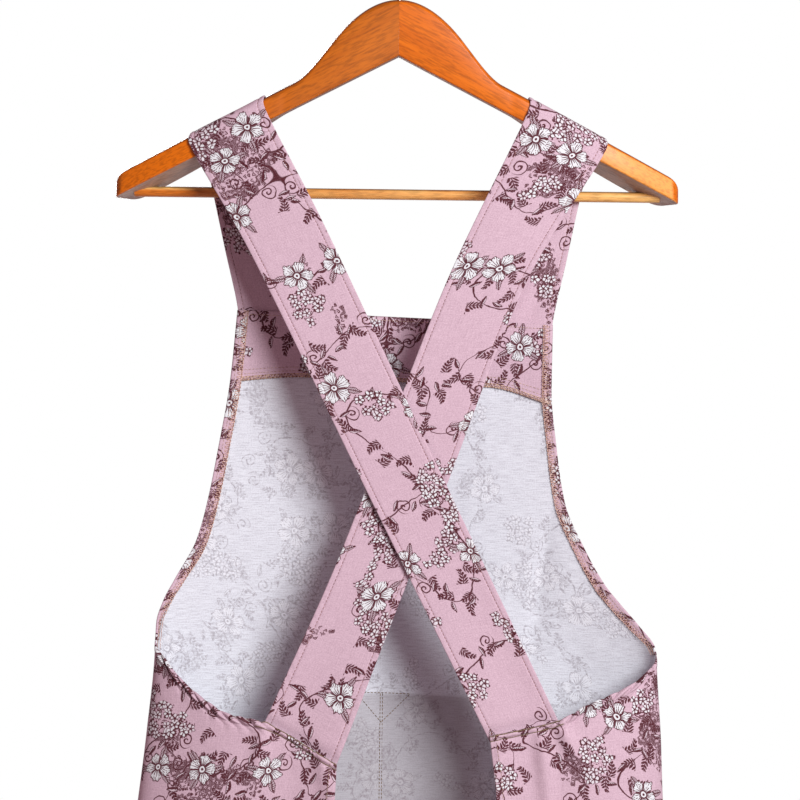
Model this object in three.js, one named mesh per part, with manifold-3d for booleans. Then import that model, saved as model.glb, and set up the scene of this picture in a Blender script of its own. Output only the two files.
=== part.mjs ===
// Cross-back apron hanging on a contoured wooden coat hanger, in millimetres with +Z up.
// The origin is the inside top of the hook, where a rail bears. The back of the apron, with the crossed
// straps, faces -Y, the front faces +Y, and +X is the wearer's right.
import * as THREE from "three";
import { mergeVertices } from "three/addons/utils/BufferGeometryUtils.js";
import Module from "manifold-3d";

// Cloth and clearances
const CLOTH = 1.2; // one layer of printed cotton
const STRAP_CLOTH = 1.6; // a strap is two layers, turned and edge stitched
const GAP = 0.3; // between neighbouring pieces
const SEAM_INSET = 0.5; // each panel stops this far short of the side fold

// Front panel: bib, waist and skirt in one cut
const BIB_TOP_LEFT = -304;
const BIB_TOP_RIGHT = -313;
const HEM = -1060;
const ARMHOLE_FOOT = -578;
const ARMHOLE_CURVE_SHARE = 0.21; // down the panel, where the armholes start to sweep outwards
const FACING_HEIGHT = 54;
const FACING_INSET = 0.6;
const FACING_SEAM = 0.34; // share of the facing that stands clear of the bib, round the strap ends
const POCKET_TOP_SHARE = 0.403; // down the panel
const POCKET_FOOT_SHARE = 0.67;
const POCKET_FROM_COLUMN = 3; // of the panel's 26 columns, counted from the right
const POCKET_TO_COLUMN = 25;
const POCKET_GAPE = 2.2; // how far each pouch stands open between its seams

// Hanger
const WOOD_TOP = -58;
const ARM_REACH = 221;
const ARM_JOINT = 0.15; // half the glue gap in the middle
const NECK_BEND = 0.0125; // the neck's top drops by this times x squared
const SHOULDER_DROP = 24; // the shoulder line drops by this plus its slope times x
const SHOULDER_SLOPE = 0.52;
const NECK_FILLET = 18;
const UNDERSIDE_DROP = 45;
const UNDERSIDE_SLOPE = 0.515;
const UNDERSIDE_FALL = 4.5; // how much lower the underside's front edge is, half-way along the flare
const BEND_START = 80; // the arms are straight to here, then bend towards the front
const BEND = 0.002;
const ARM_DEPTH = 14;
const FLARE_START = 90; // the arms deepen from here to the ends
const FLARE = 22;
const ARM_CROWN = 5; // height of the rounded top edge
const ARM_END = 10; // length of the rounded end
const END_DEPTH_SHARE = 0.4; // of the arm's depth that is left at the tip
const END_TOP_ROUND = 8;
const END_FOOT_ROUND = 2;
const BAR_RADIUS = 4.25;
const BAR_REACH = 211;
const BAR_Y = 32;
const BAR_Z = -210;
const WIRE_RADIUS = 2;
const HOOK_INSIDE = 20; // inside radius of the hook
const HOOK_SOCKET = 18; // depth of the stem in the wood
const HOOK_STEM = 6; // straight stem above the wood

// Straps
const STRAP_CLEAR = 1.6; // from the wood to the middle of the strap
const STRAP_TUCK = 12; // length sewn in behind a panel's edge
const TUCK_ROOM = 0.2; // extra room behind the back panels' curved edges
const FRONT_LEG_Y = 38.4; // the straps and the bib hang in front of the bar

// Body of the apron, level by level: the side folds, the y of the folds, of the middle of the front and of
// the back, and how square the section is
const LEVELS = [
  { z: -300, left: -187, right: 210.5, fold: 6, front: 40.5, back: -20, square: 2.6 },
  { z: -570, left: -187.6, right: 210.5, fold: 6, front: 43, back: -24, square: 2.5 },
  { z: -640, left: -193.3, right: 214.5, fold: 6, front: 45, back: -28, square: 2.4 },
  { z: -695, left: -199.6, right: 217, fold: 6, front: 47, back: -31, square: 2.4 },
  { z: -860, left: -222, right: 231, fold: 5, front: 52, back: -38, square: 2.3 },
  { z: -1060, left: -242, right: 246, fold: 4, front: 58, back: -46, square: 2.2 },
];

// Armhole edges of the front panel, from the top of the bib down to the side folds
const ARMHOLES = [
  { z: -300, left: -126.5, right: 126.5 },
  { z: -365, left: -132.5, right: 126 },
  { z: -410, left: -140, right: 130.5 },
  { z: -458, left: -149, right: 138.5 },
  { z: -490, left: -157.5, right: 152.5 },
  { z: -522, left: -174.5, right: 170.5 },
  { z: -538, left: -182.5, right: 183.5 },
  { z: -554, left: -187, right: 197.5 },
  { z: -570, left: -187.6, right: 209.5 },
  { z: -578, left: -188.2, right: 210.9 },
];

// Top edges of the two back panels, across the cloth from the side fold (0) to the back edge (1)
const BACK_TOPS = [
  { across: 0, left: -568.5, right: -576 },
  { across: 0.1, left: -581, right: -587 },
  { across: 0.2, left: -597, right: -597 },
  { across: 0.33, left: -612, right: -605.5 },
  { across: 0.46, left: -623, right: -613 },
  { across: 0.62, left: -628.5, right: -625 },
  { across: 1, left: -661, right: -637.5 },
];

// Free back edges of the two back panels
const BACK_EDGES = [
  { z: -560, left: -38, right: 66 },
  { z: -690, left: -43, right: 84 },
  { z: -1060, left: -62, right: 106 },
];

// Soft folds, placed as a share of the half width, with how far each stands out at the waist and the hem
const FRONT_FOLDS = [
  { across: -0.64, width: 0.17, waist: 3, hem: 15 },
  { across: -0.36, width: 0.13, waist: -6, hem: -13 },
  { across: -0.03, width: 0.16, waist: 2, hem: 13 },
  { across: 0.3, width: 0.14, waist: -3, hem: -12 },
  { across: 0.64, width: 0.17, waist: 4, hem: 16 },
];
const BACK_FOLDS = [
  { across: -0.68, width: 0.16, waist: 3, hem: 14 },
  { across: -0.42, width: 0.1, waist: -3, hem: -10 },
  { across: 0.5, width: 0.1, waist: -3, hem: -9 },
  { across: 0.72, width: 0.14, waist: 3, hem: 14 },
];
const FOLD_START = -420;
const FOLD_WAIST = -660;

// Straps: the arm stations that each one lies on, and the free stations of its front leg and its back leg,
// from the bib up over the arm and down to the far back panel
const STRAP_LEFT = {
  arm: { outer: -161.5, inner: -105.5 },
  bib: { outer: -127, inner: -67 },
  bar: { outer: -148.5, inner: -89 },
  back: [
    { outer_x: -117, outer_z: -257, inner_x: -58.5, inner_z: -235, y: -10 },
    { outer_x: -20.5, outer_z: -448, inner_x: 36, inner_z: -430, y: -22 },
  ],
  end: { outer_x: 75.5, outer_z: -637.4, inner_x: 131.5, inner_z: -625 },
  heading: { x: 0.44, z: -0.9 },
};
const STRAP_RIGHT = {
  arm: { outer: 162, inner: 103.5 },
  bib: { outer: 126.5, inner: 65.5 },
  bar: { outer: 148, inner: 88 },
  back: [
    { outer_x: 104, outer_z: -279, inner_x: 41, inner_z: -279, y: -10 },
    { outer_x: 40, outer_z: -447, inner_x: -22.5, inner_z: -448, y: -16.5 },
    { outer_x: 11, outer_z: -521, inner_x: -50.5, inner_z: -520, y: -19.5 },
  ],
  end: { outer_x: -41.5, outer_z: -661, inner_x: -98.5, inner_z: -628.6 },
  heading: { x: -0.38, z: -0.92 },
};

// Colours
const PINK = 0xd6adc0;
const WOOD = 0xc87a33;
const STEEL = 0xb9bcc0;

const mix = (a, b, share) => a + (b - a) * share;

// A table's column read at a place: a cubic through the rows that never overshoots them.
function read(rows, by, name, place) {
  const last = rows.length - 1;
  const turned = rows[last][by] < rows[0][by] ? -1 : 1;
  const at = turned * place;
  if (at <= turned * rows[0][by]) return rows[0][name];
  if (at >= turned * rows[last][by]) return rows[last][name];
  const next = rows.findIndex((row) => turned * row[by] >= at);
  const secant = (k) => (rows[k + 1][name] - rows[k][name]) / (turned * (rows[k + 1][by] - rows[k][by]));
  const slope = (k) => {
    if (k === 0) return secant(0);
    if (k === last) return secant(last - 1);
    const [before, after] = [secant(k - 1), secant(k)];
    return before * after > 0 ? (2 * before * after) / (before + after) : 0;
  };
  const from = rows[next - 1];
  const to = rows[next];
  const step = turned * (to[by] - from[by]);
  const t = (at - turned * from[by]) / step;
  const ease = t * t * (3 - 2 * t);
  const lead = t * (1 - t) * (1 - t) * step * slope(next - 1);
  const tail = t * t * (1 - t) * step * slope(next);
  return mix(from[name], to[name], ease) + lead - tail;
}

// A closed wall about a middle surface, which is a grid of points in rows.
function wall(grid, thickness) {
  const rows = grid.length;
  const columns = grid[0].length;
  const positions = [];
  for (const side of [0.5, -0.5]) {
    for (let r = 0; r < rows; r += 1) {
      for (let c = 0; c < columns; c += 1) {
        const along = grid[Math.min(r + 1, rows - 1)][c].clone().sub(grid[Math.max(r - 1, 0)][c]);
        const across = grid[r][Math.min(c + 1, columns - 1)].clone().sub(grid[r][Math.max(c - 1, 0)]);
        const normal = across.cross(along).normalize();
        positions.push(...grid[r][c].clone().addScaledVector(normal, side * thickness).toArray());
      }
    }
  }
  const index = [];
  const quad = (a, b, c, d) => index.push(a, b, c, a, c, d);
  const face = (r, c) => r * columns + c;
  const reverse = (r, c) => rows * columns + face(r, c);
  for (let r = 0; r < rows - 1; r += 1) {
    for (let c = 0; c < columns - 1; c += 1) {
      quad(face(r, c), face(r, c + 1), face(r + 1, c + 1), face(r + 1, c));
      quad(reverse(r, c), reverse(r + 1, c), reverse(r + 1, c + 1), reverse(r, c + 1));
    }
    quad(face(r, 0), face(r + 1, 0), reverse(r + 1, 0), reverse(r, 0));
    const end = columns - 1;
    quad(reverse(r, end), reverse(r + 1, end), face(r + 1, end), face(r, end));
  }
  for (let c = 0; c < columns - 1; c += 1) {
    const end = rows - 1;
    quad(reverse(0, c), reverse(0, c + 1), face(0, c + 1), face(0, c));
    quad(face(end, c), face(end, c + 1), reverse(end, c + 1), reverse(end, c));
  }
  return bodyOf(positions, index);
}

function bodyOf(positions, index) {
  const geometry = new THREE.BufferGeometry();
  geometry.setAttribute("position", new THREE.Float32BufferAttribute(positions, 3));
  geometry.setIndex(index);
  geometry.computeVertexNormals();
  return geometry;
}

// How far the folds of a table push the cloth out at a share of the half width and a height.
function foldSize(folds, across, z) {
  return folds.reduce((sum, fold) => {
    const growth = [
      { z: FOLD_START, size: 0 },
      { z: FOLD_WAIST, size: fold.waist },
      { z: HEM, size: fold.hem },
    ];
    const offset = (across - fold.across) / fold.width;
    return sum + read(growth, "z", "size", z) * Math.exp(-offset * offset);
  }, 0);
}

// The y of the body at x and z: a rounded, flattened tube whose front half and back half bulge apart from
// the side folds, with the soft folds fading out towards the sides.
function bodyY(half, x, z) {
  const level = (name) => read(LEVELS, "z", name, z);
  const middle = (level("left") + level("right")) / 2;
  const reach = (level("right") - level("left")) / 2;
  const across = THREE.MathUtils.clamp((x - middle) / reach, -1, 1);
  const square = level("square");
  const bulge = (1 - Math.abs(across) ** square) ** (1 / square);
  const folds = half === "front" ? foldSize(FRONT_FOLDS, across, z) : -foldSize(BACK_FOLDS, across, z);
  return level("fold") + (level(half) - level("fold")) * bulge + folds * bulge;
}

const LINE_STEPS = 90;

// The body's line at one height from x start to x end, as points with their distance along the cloth.
function bodyLine(half, z, start, end) {
  const left = read(LEVELS, "z", "left", z);
  const right = read(LEVELS, "z", "right", z);
  const turn = (x) => Math.acos(THREE.MathUtils.clamp((2 * x - left - right) / (right - left), -1, 1));
  const line = [];
  for (let i = 0; i <= LINE_STEPS; i += 1) {
    const angle = mix(turn(start), turn(end), i / LINE_STEPS);
    const x = (left + right) / 2 + ((right - left) / 2) * Math.cos(angle);
    const point = new THREE.Vector3(x, bodyY(half, x, z), z);
    const before = line[i - 1];
    line.push({ point, length: before ? before.length + before.point.distanceTo(point) : 0 });
  }
  return line;
}

function pointAt(line, length) {
  const next = Math.max(1, line.findIndex((entry) => entry.length >= length));
  const [from, to] = [line[next - 1], line[next]];
  return from.point.clone().lerp(to.point, (length - from.length) / (to.length - from.length));
}

// A point of the front panel: share across from the left edge, share down from the top of the bib.
function frontPoint(across, down, inset = SEAM_INSET) {
  const z = mix(mix(BIB_TOP_LEFT, BIB_TOP_RIGHT, across), HEM, down);
  const left = read(LEVELS, "z", "left", z);
  const right = read(LEVELS, "z", "right", z);
  const open = z > ARMHOLE_FOOT;
  const start = open ? Math.max(left, read(ARMHOLES, "z", "left", z)) : left;
  const end = open ? Math.min(right, read(ARMHOLES, "z", "right", z)) : right;
  const line = bodyLine("front", z, start, end);
  return pointAt(line, mix(inset, line[LINE_STEPS].length - inset, across));
}

const shares = (count) => Array.from({ length: count + 1 }, (_, i) => i / count);

// The front panel's rows lie closest along the curve of the armholes, and its pocket starts and ends on
// rows.
const FRONT_BANDS = [
  { to: ARMHOLE_CURVE_SHARE, rows: 7 },
  { to: POCKET_TOP_SHARE, rows: 12 },
  { to: POCKET_FOOT_SHARE, rows: 6 },
  { to: 1, rows: 8 },
];
const FRONT_COLUMNS = 26;

const frontRows = [0];
for (const band of FRONT_BANDS) {
  const from = frontRows[frontRows.length - 1];
  for (let i = 1; i <= band.rows; i += 1) frontRows.push(mix(from, band.to, i / band.rows));
}
const frontGrid = frontRows.map((down) =>
  shares(FRONT_COLUMNS).map((across) => frontPoint(across, down)).reverse(),
);

const BACK_COLUMNS = 12;
const BACK_ROWS = 18;

// A back panel runs from its side fold round to its free back edge, below the slope of its top edge.
function backPanel(side) {
  const grid = shares(BACK_ROWS).map((down) =>
    shares(BACK_COLUMNS).map((across) => {
      const z = mix(read(BACK_TOPS, "across", side, across), HEM, down);
      const line = bodyLine("back", z, read(LEVELS, "z", side, z), read(BACK_EDGES, "z", side, z));
      return pointAt(line, mix(SEAM_INSET, line[LINE_STEPS].length, across));
    }),
  );
  return wall(side === "left" ? grid : grid.map((line) => line.reverse()), CLOTH);
}

const FACING_COLUMNS = 16;
const FACING_ROWS = 3;

// The facing backs the top of the bib on the inside and leaves room for the strap ends in its top seam.
function bibFacing() {
  const topStep = CLOTH + STRAP_CLOTH + 2 * GAP;
  const footStep = CLOTH + GAP;
  const depth = FACING_HEIGHT / (BIB_TOP_LEFT - HEM);
  return wall(
    shares(FACING_ROWS).map((down) =>
      shares(FACING_COLUMNS).map((across) => {
        const point = frontPoint(across, down * depth, FACING_INSET);
        point.y -= mix(topStep, footStep, Math.max(0, (down - FACING_SEAM) / (1 - FACING_SEAM)));
        return point;
      }).reverse(),
    ),
    CLOTH,
  );
}

// The pocket lies on the outside of the skirt and is sewn at its sides, its foot and down its middle.
function frontPocket() {
  const onPocket = (down) => down >= POCKET_TOP_SHARE && down <= POCKET_FOOT_SHARE;
  const rows = frontGrid.filter((_, r) => onPocket(frontRows[r]));
  const columns = POCKET_TO_COLUMN - POCKET_FROM_COLUMN;
  return wall(
    rows.map((row, r) =>
      row.slice(POCKET_FROM_COLUMN, POCKET_TO_COLUMN + 1).map((point, c) => {
        const next = row[POCKET_FROM_COLUMN + c + 1].clone();
        const ahead = next.sub(row[POCKET_FROM_COLUMN + c - 1]);
        const outward = new THREE.Vector3(ahead.y, -ahead.x, 0).normalize();
        const pouch = Math.sin((2 * Math.PI * c) / columns) ** 2 * (1 - r / (rows.length - 1));
        return point.clone().addScaledVector(outward, CLOTH + GAP + POCKET_GAPE * pouch);
      }),
    ),
    CLOTH,
  );
}

// The arm's middle, top and depth at a distance from the hanger's middle, on the +X side.
function armAt(x) {
  const bend = Math.max(0, x - BEND_START);
  const neck = NECK_BEND * x * x;
  const shoulder = SHOULDER_DROP + SHOULDER_SLOPE * x;
  const blend = Math.max(0, 1 - Math.abs(neck - shoulder) / NECK_FILLET);
  const turn = Math.atan(2 * BEND * bend);
  const flare = Math.max(0, (x - FLARE_START) / (ARM_REACH - FLARE_START));
  return {
    middle: BEND * bend * bend,
    outward: { x: -Math.sin(turn), y: Math.cos(turn) },
    half: (ARM_DEPTH + FLARE * flare) / 2,
    top: WOOD_TOP - Math.min(neck, shoulder) + (blend * blend * NECK_FILLET) / 4,
    foot: WOOD_TOP - UNDERSIDE_DROP - UNDERSIDE_SLOPE * x,
    fall: UNDERSIDE_FALL * Math.sin(Math.PI * flare),
  };
}

const ARM_STATIONS = [ARM_JOINT, 14, 27, 38, 47, 56, 64, 72, 82, 96, 120, 145, 168, 188, 201, 211];
const END_STEPS = 4;
const CROWN_STEPS = 6;
const FOOT_CHAMFER = 1.5;

// One arm: flat sides, a rounded top edge and a rounded end, bent towards the front.
function hangerArm() {
  const stations = ARM_STATIONS.map((x) => ({ x, fullness: 1 }));
  for (let i = 1; i <= END_STEPS; i += 1) {
    const angle = (Math.PI / 2) * (i / (END_STEPS + 1));
    stations.push({ x: ARM_REACH - ARM_END * (1 - Math.sin(angle)), fullness: Math.cos(angle) });
  }
  const rings = stations.map(({ x, fullness }) => {
    const arm = armAt(x);
    const half = arm.half * mix(END_DEPTH_SHARE, 1, fullness);
    const top = arm.top - END_TOP_ROUND * (1 - fullness);
    const foot = arm.foot + END_FOOT_ROUND * (1 - fullness);
    const { outward, middle } = arm;
    const at = (out, z) => new THREE.Vector3(x + out * outward.x, middle + out * outward.y, z);
    const frontFoot = foot - arm.fall;
    const ring = [at(half, frontFoot + FOOT_CHAMFER)];
    for (let i = 0; i <= CROWN_STEPS; i += 1) {
      const angle = (Math.PI * i) / CROWN_STEPS;
      ring.push(at(half * Math.cos(angle), top - ARM_CROWN * (1 - Math.sin(angle))));
    }
    ring.push(at(-half, foot + FOOT_CHAMFER));
    ring.push(at(FOOT_CHAMFER - half, foot));
    ring.push(at(half - FOOT_CHAMFER, frontFoot));
    return ring;
  });
  return loft(rings);
}

// A closed skin over rings of points, with flat ends.
function loft(rings) {
  const count = rings[0].length;
  const positions = rings.flat().flatMap((point) => point.toArray());
  const index = [];
  for (let r = 0; r < rings.length - 1; r += 1) {
    for (let i = 0; i < count; i += 1) {
      const [a, b] = [r * count + i, r * count + ((i + 1) % count)];
      index.push(a, b, b + count, a, b + count, a + count);
    }
  }
  const last = (rings.length - 1) * count;
  for (let i = 1; i < count - 1; i += 1) {
    index.push(0, i + 1, i);
    index.push(last, last + i, last + i + 1);
  }
  return bodyOf(positions, index);
}

function mirrored(geometry) {
  const copy = geometry.clone().scale(-1, 1, 1);
  const index = Array.from(copy.index.array);
  for (let i = 0; i < index.length; i += 3) [index[i], index[i + 1]] = [index[i + 1], index[i]];
  return bodyOf(Array.from(copy.attributes.position.array), index);
}

const MERGE_DISTANCE = 1e-4;

const wasm = await Module();
wasm.setup();

function solidOf(geometry) {
  const bare = geometry.clone();
  bare.deleteAttribute("normal");
  bare.deleteAttribute("uv");
  const merged = mergeVertices(bare, MERGE_DISTANCE);
  return new wasm.Manifold(
    new wasm.Mesh({
      numProp: 3,
      vertProperties: new Float32Array(merged.attributes.position.array),
      triVerts: new Uint32Array(merged.index.array),
    }),
  );
}

function cut(geometry, tools) {
  const solid = tools.reduce((body, tool) => body.subtract(solidOf(tool)), solidOf(geometry));
  const mesh = solid.getMesh();
  return bodyOf(Array.from(mesh.vertProperties), Array.from(mesh.triVerts));
}

const ROUND_SIDES = 12;

function bar(radius, reach) {
  return new THREE.CylinderGeometry(radius, radius, 2 * reach, ROUND_SIDES)
    .rotateZ(Math.PI / 2)
    .translate(0, BAR_Y, BAR_Z);
}

function hookSocket() {
  const length = 2 * (HOOK_SOCKET + GAP);
  return new THREE.CylinderGeometry(WIRE_RADIUS + GAP, WIRE_RADIUS + GAP, length, ROUND_SIDES)
    .rotateX(Math.PI / 2)
    .translate(0, 0, WOOD_TOP);
}

const HOOK_START = -58; // degrees on the hook's round, from the stem side up over the top
const HOOK_TIP = 196;
const HOOK_PITCH = 18;
const HOOK_SIDES = 8;
const HOOK_STEPS = 44;

// The hook is one bent wire: a stem in the wood, a swan neck and a round that lies over the rail.
function hangerHook() {
  const radius = HOOK_INSIDE + WIRE_RADIUS;
  const rises = [-HOOK_SOCKET, -HOOK_SOCKET / 2, 0, HOOK_STEM];
  const stem = rises.map((rise) => new THREE.Vector3(0, 0, WOOD_TOP + rise));
  const round = [];
  for (let angle = HOOK_START; angle <= HOOK_TIP; angle += HOOK_PITCH) {
    const turn = THREE.MathUtils.degToRad(angle);
    round.push(new THREE.Vector3(radius * Math.cos(turn), 0, radius * Math.sin(turn) - HOOK_INSIDE));
  }
  const wire = new THREE.Shape().absarc(0, 0, WIRE_RADIUS, 0, 2 * Math.PI);
  return new THREE.ExtrudeGeometry(wire, {
    steps: HOOK_STEPS,
    curveSegments: HOOK_SIDES,
    extrudePath: new THREE.CatmullRomCurve3([...stem, ...round], false, "centripetal"),
  });
}

const STRAP_COLUMNS = 3;
const STRAP_ROWS_PER_STATION = 3;
const WRAP_STEPS = 6;

// A strap is a flat ribbon: sewn into the bib's top seam, up in front of the bar, over the arm and down the
// back to the far panel, where its end is sewn behind the panel's edge.
function strap(plan) {
  const side = Math.sign(plan.arm.outer);
  const lines = shares(STRAP_COLUMNS).map((share) => {
    const between = (station) => mix(station.outer, station.inner, share);
    const bibX = between(plan.bib);
    const bibShare = (bibX - ARMHOLES[0].left) / (ARMHOLES[0].right - ARMHOLES[0].left);
    const bibTop = mix(BIB_TOP_LEFT, BIB_TOP_RIGHT, bibShare);
    const inSeam = (z) => bodyY("front", bibX, z) - (CLOTH + STRAP_CLOTH) / 2 - GAP;
    const bibEdge = new THREE.Vector3(bibX, inSeam(bibTop), bibTop);
    const atBar = new THREE.Vector3(between(plan.bar), FRONT_LEG_Y, BAR_Z);
    const stations = [
      new THREE.Vector3(bibX, inSeam(bibTop - STRAP_TUCK), bibTop - STRAP_TUCK),
      bibEdge,
      bibEdge.clone().lerp(atBar, 0.5),
      atBar,
    ];
    const x = between(plan.arm);
    const arm = armAt(Math.abs(x));
    for (let i = 0; i <= WRAP_STEPS; i += 1) {
      const angle = (Math.PI * i) / WRAP_STEPS;
      const out = (arm.half + STRAP_CLEAR) * Math.cos(angle);
      const rise = (ARM_CROWN + STRAP_CLEAR) * Math.sin(angle) - ARM_CROWN;
      const wrapX = x + side * out * arm.outward.x;
      stations.push(new THREE.Vector3(wrapX, arm.middle + out * arm.outward.y, arm.top + rise));
    }
    const acrossX = (row) => mix(row.outer_x, row.inner_x, share);
    const acrossZ = (row) => mix(row.outer_z, row.inner_z, share);
    for (const row of plan.back) stations.push(new THREE.Vector3(acrossX(row), row.y, acrossZ(row)));
    for (const tuck of [0, STRAP_TUCK]) {
      const tuckX = acrossX(plan.end) + tuck * plan.heading.x;
      const tuckZ = acrossZ(plan.end) + tuck * plan.heading.z;
      const y = bodyY("back", tuckX, tuckZ) + (CLOTH + STRAP_CLOTH) / 2 + GAP + TUCK_ROOM;
      stations.push(new THREE.Vector3(tuckX, y, tuckZ));
    }
    return new THREE.CatmullRomCurve3(stations, false, "centripetal");
  });
  const count = (lines[0].points.length - 1) * STRAP_ROWS_PER_STATION;
  const grid = shares(count).map((along) => lines.map((line) => line.getPoint(along)));
  return wall(side < 0 ? grid : grid.map((line) => line.reverse()), STRAP_CLOTH);
}

const cotton = () => new THREE.MeshStandardMaterial({ color: PINK, roughness: 0.9, metalness: 0 });
const lacquer = () => new THREE.MeshStandardMaterial({ color: WOOD, roughness: 0.35, metalness: 0 });
const steel = () => new THREE.MeshStandardMaterial({ color: STEEL, roughness: 0.25, metalness: 1 });

function piece(name, geometry, material) {
  const mesh = new THREE.Mesh(geometry, material);
  mesh.name = name;
  return mesh;
}

const arm = hangerArm();
const sockets = [hookSocket(), bar(BAR_RADIUS + GAP, BAR_REACH + GAP)];

const hanger = new THREE.Group();
hanger.add(
  piece("hanger_arm_left", cut(mirrored(arm), sockets), lacquer()),
  piece("hanger_arm_right", cut(arm, sockets), lacquer()),
  piece("hanger_bar", bar(BAR_RADIUS, BAR_REACH), lacquer()),
  piece("hanger_hook", hangerHook(), steel()),
);

const apron = new THREE.Group();
apron.add(
  piece("front_panel", wall(frontGrid, CLOTH), cotton()),
  piece("back_panel_left", backPanel("left"), cotton()),
  piece("back_panel_right", backPanel("right"), cotton()),
  piece("bib_facing", bibFacing(), cotton()),
  piece("front_pocket", frontPocket(), cotton()),
  piece("strap_left", strap(STRAP_LEFT), cotton()),
  piece("strap_right", strap(STRAP_RIGHT), cotton()),
);

const part = new THREE.Group();
part.add(hanger, apron);

export default part;
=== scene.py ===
"""A cross-back apron of printed cotton on a lacquered wooden coat hanger, in metres with +Z up."""
import functools
import math
import types

import bpy
import numpy as np
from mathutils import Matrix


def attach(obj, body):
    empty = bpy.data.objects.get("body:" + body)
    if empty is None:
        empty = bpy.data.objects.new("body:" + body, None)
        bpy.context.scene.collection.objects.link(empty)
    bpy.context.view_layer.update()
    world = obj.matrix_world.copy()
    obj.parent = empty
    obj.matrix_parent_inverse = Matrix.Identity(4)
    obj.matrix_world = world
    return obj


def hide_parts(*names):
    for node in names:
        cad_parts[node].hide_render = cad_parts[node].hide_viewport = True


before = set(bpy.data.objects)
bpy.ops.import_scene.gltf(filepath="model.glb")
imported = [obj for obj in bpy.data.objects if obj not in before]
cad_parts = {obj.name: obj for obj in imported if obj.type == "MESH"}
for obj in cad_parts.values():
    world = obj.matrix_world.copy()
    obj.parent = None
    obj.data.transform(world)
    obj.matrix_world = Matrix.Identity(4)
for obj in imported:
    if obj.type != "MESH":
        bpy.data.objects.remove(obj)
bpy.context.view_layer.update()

# Camera, floor and light
# The camera stands level behind the wearer's back at the height of the strap crossing, a little turned
# about its own axis. The floor is a pale disc under the hem. The walls give back a warm light, a soft lamp
# stands right of the camera, another lights the apron's front, and a side panel shines in the lacquer.
CAMERA_DISTANCE = 2.2
CAMERA_X = 0.0044
CAMERA_Z = -0.3752
CAMERA_ROLL = math.radians(0.7)
VIEW_WIDTH = 0.6344  # what the picture spans at the hanger's middle
SENSOR = 36.0
WALL_WHITE = (1.0, 1.0, 1.0, 1.0)
STUDIO_LIGHT = 0.31  # of the white walls' brightness, for what falls on the object
STUDIO_WARMTH = (1.0, 0.66, 0.7, 1.0)
LAMPS = (  # name, place, aim, size, power, whether it lights matt faces
    ("back_lamp", (1.17, -2.19, 0.36), (0.0, 0.0, -0.5), 1.2, 80.0, True),
    ("front_lamp", (-0.9, 2.5, 0.1), (0.0, 0.0, -0.6), 1.4, 70.0, True),
    ("side_panel", (1.44, -0.79, -0.07), (0.2, 0.03, -0.19), 0.8, 5.0, False),
)
FLOOR_Z = -1.35
FLOOR_RADIUS = 2.6
FLOOR_SIDES = 96
FLOOR_PAINT = {"Base Color": (0.82, 0.87, 0.87, 1.0), "Roughness": 0.8}


def add_object(name, data):
    """A new object in the scene, at the origin."""
    made = bpy.data.objects.new(name, data)
    bpy.context.collection.objects.link(made)
    return made


def feed(tree, sockets, values):
    """Sets each socket to its value in turn, or links it where the value is another node's output."""
    for socket, value in zip(sockets, values):
        if isinstance(value, bpy.types.NodeSocket):
            tree.links.new(value, socket)
        else:
            socket.default_value = value


def add_node(tree, kind, **inputs):
    """A new node with its named inputs set or linked."""
    node = tree.nodes.new(kind)
    feed(tree, [node.inputs[name] for name in inputs], inputs.values())
    return node


def new_material(name, finish):
    """A new material with its tree and its shader, the finish set on the shader's own sockets."""
    material = bpy.data.materials.new(name)
    material.use_nodes = True
    shader = material.node_tree.nodes["Principled BSDF"]
    feed(material.node_tree, [shader.inputs[name] for name in finish], finish.values())
    return material, material.node_tree, shader


def full_turn(count):
    """Angles at even steps round a full turn."""
    return np.linspace(0, 2 * np.pi, count, endpoint=False)


camera_data = bpy.data.cameras.new("camera")
camera_data.sensor_width = SENSOR
camera_data.lens = SENSOR * CAMERA_DISTANCE / VIEW_WIDTH
camera = add_object("camera", camera_data)
camera.location = (CAMERA_X, -CAMERA_DISTANCE, CAMERA_Z)
camera.rotation_euler = (math.pi / 2, -CAMERA_ROLL, 0)
bpy.context.scene.camera = camera
bpy.context.scene.view_settings.view_transform = "Standard"

world = bpy.data.worlds.new("white_studio")
world.use_nodes = True
sky = world.node_tree
walls_seen = sky.nodes["Background"]
feed(sky, walls_seen.inputs, (WALL_WHITE, 1.0))
walls_lighting = add_node(sky, "ShaderNodeBackground", Color=STUDIO_WARMTH, Strength=STUDIO_LIGHT)
ray = sky.nodes.new("ShaderNodeLightPath")
walls = sky.nodes.new("ShaderNodeMixShader")
feed(sky, walls.inputs, (ray.outputs["Is Camera Ray"], walls_lighting.outputs[0], walls_seen.outputs[0]))
sky.links.new(walls.outputs[0], sky.nodes["World Output"].inputs["Surface"])
bpy.context.scene.world = world

for lamp_name, lamp_place, lamp_aim, lamp_size, lamp_power, lights_matt in LAMPS:
    lamp_data = bpy.data.lights.new(lamp_name, "AREA")
    lamp_data.shape = "DISK"
    lamp_data.size = lamp_size
    lamp_data.energy = lamp_power
    lamp = add_object(lamp_name, lamp_data)
    lamp.location = lamp_place
    lamp_way = np.subtract(lamp_aim, lamp_place)
    lamp_tilt = math.acos(-lamp_way[2] / np.linalg.norm(lamp_way))
    lamp.rotation_euler = (lamp_tilt, 0.0, math.atan2(-lamp_way[0], lamp_way[1]))
    lamp.visible_diffuse = lights_matt

floor_turn = full_turn(FLOOR_SIDES)
floor_x, floor_y = FLOOR_RADIUS * np.cos(floor_turn), FLOOR_RADIUS * np.sin(floor_turn)
floor_edge = np.stack([floor_x, floor_y, np.full(FLOOR_SIDES, FLOOR_Z)], axis=-1)
floor_mesh = bpy.data.meshes.new("floor")
floor_mesh.from_pydata(floor_edge.tolist(), [], [list(range(FLOOR_SIDES))])
floor_mesh.materials.append(new_material("pale_floor", FLOOR_PAINT)[0])
floor = add_object("floor", floor_mesh)
floor.visible_diffuse = False  # the walls alone light the shade

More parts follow.
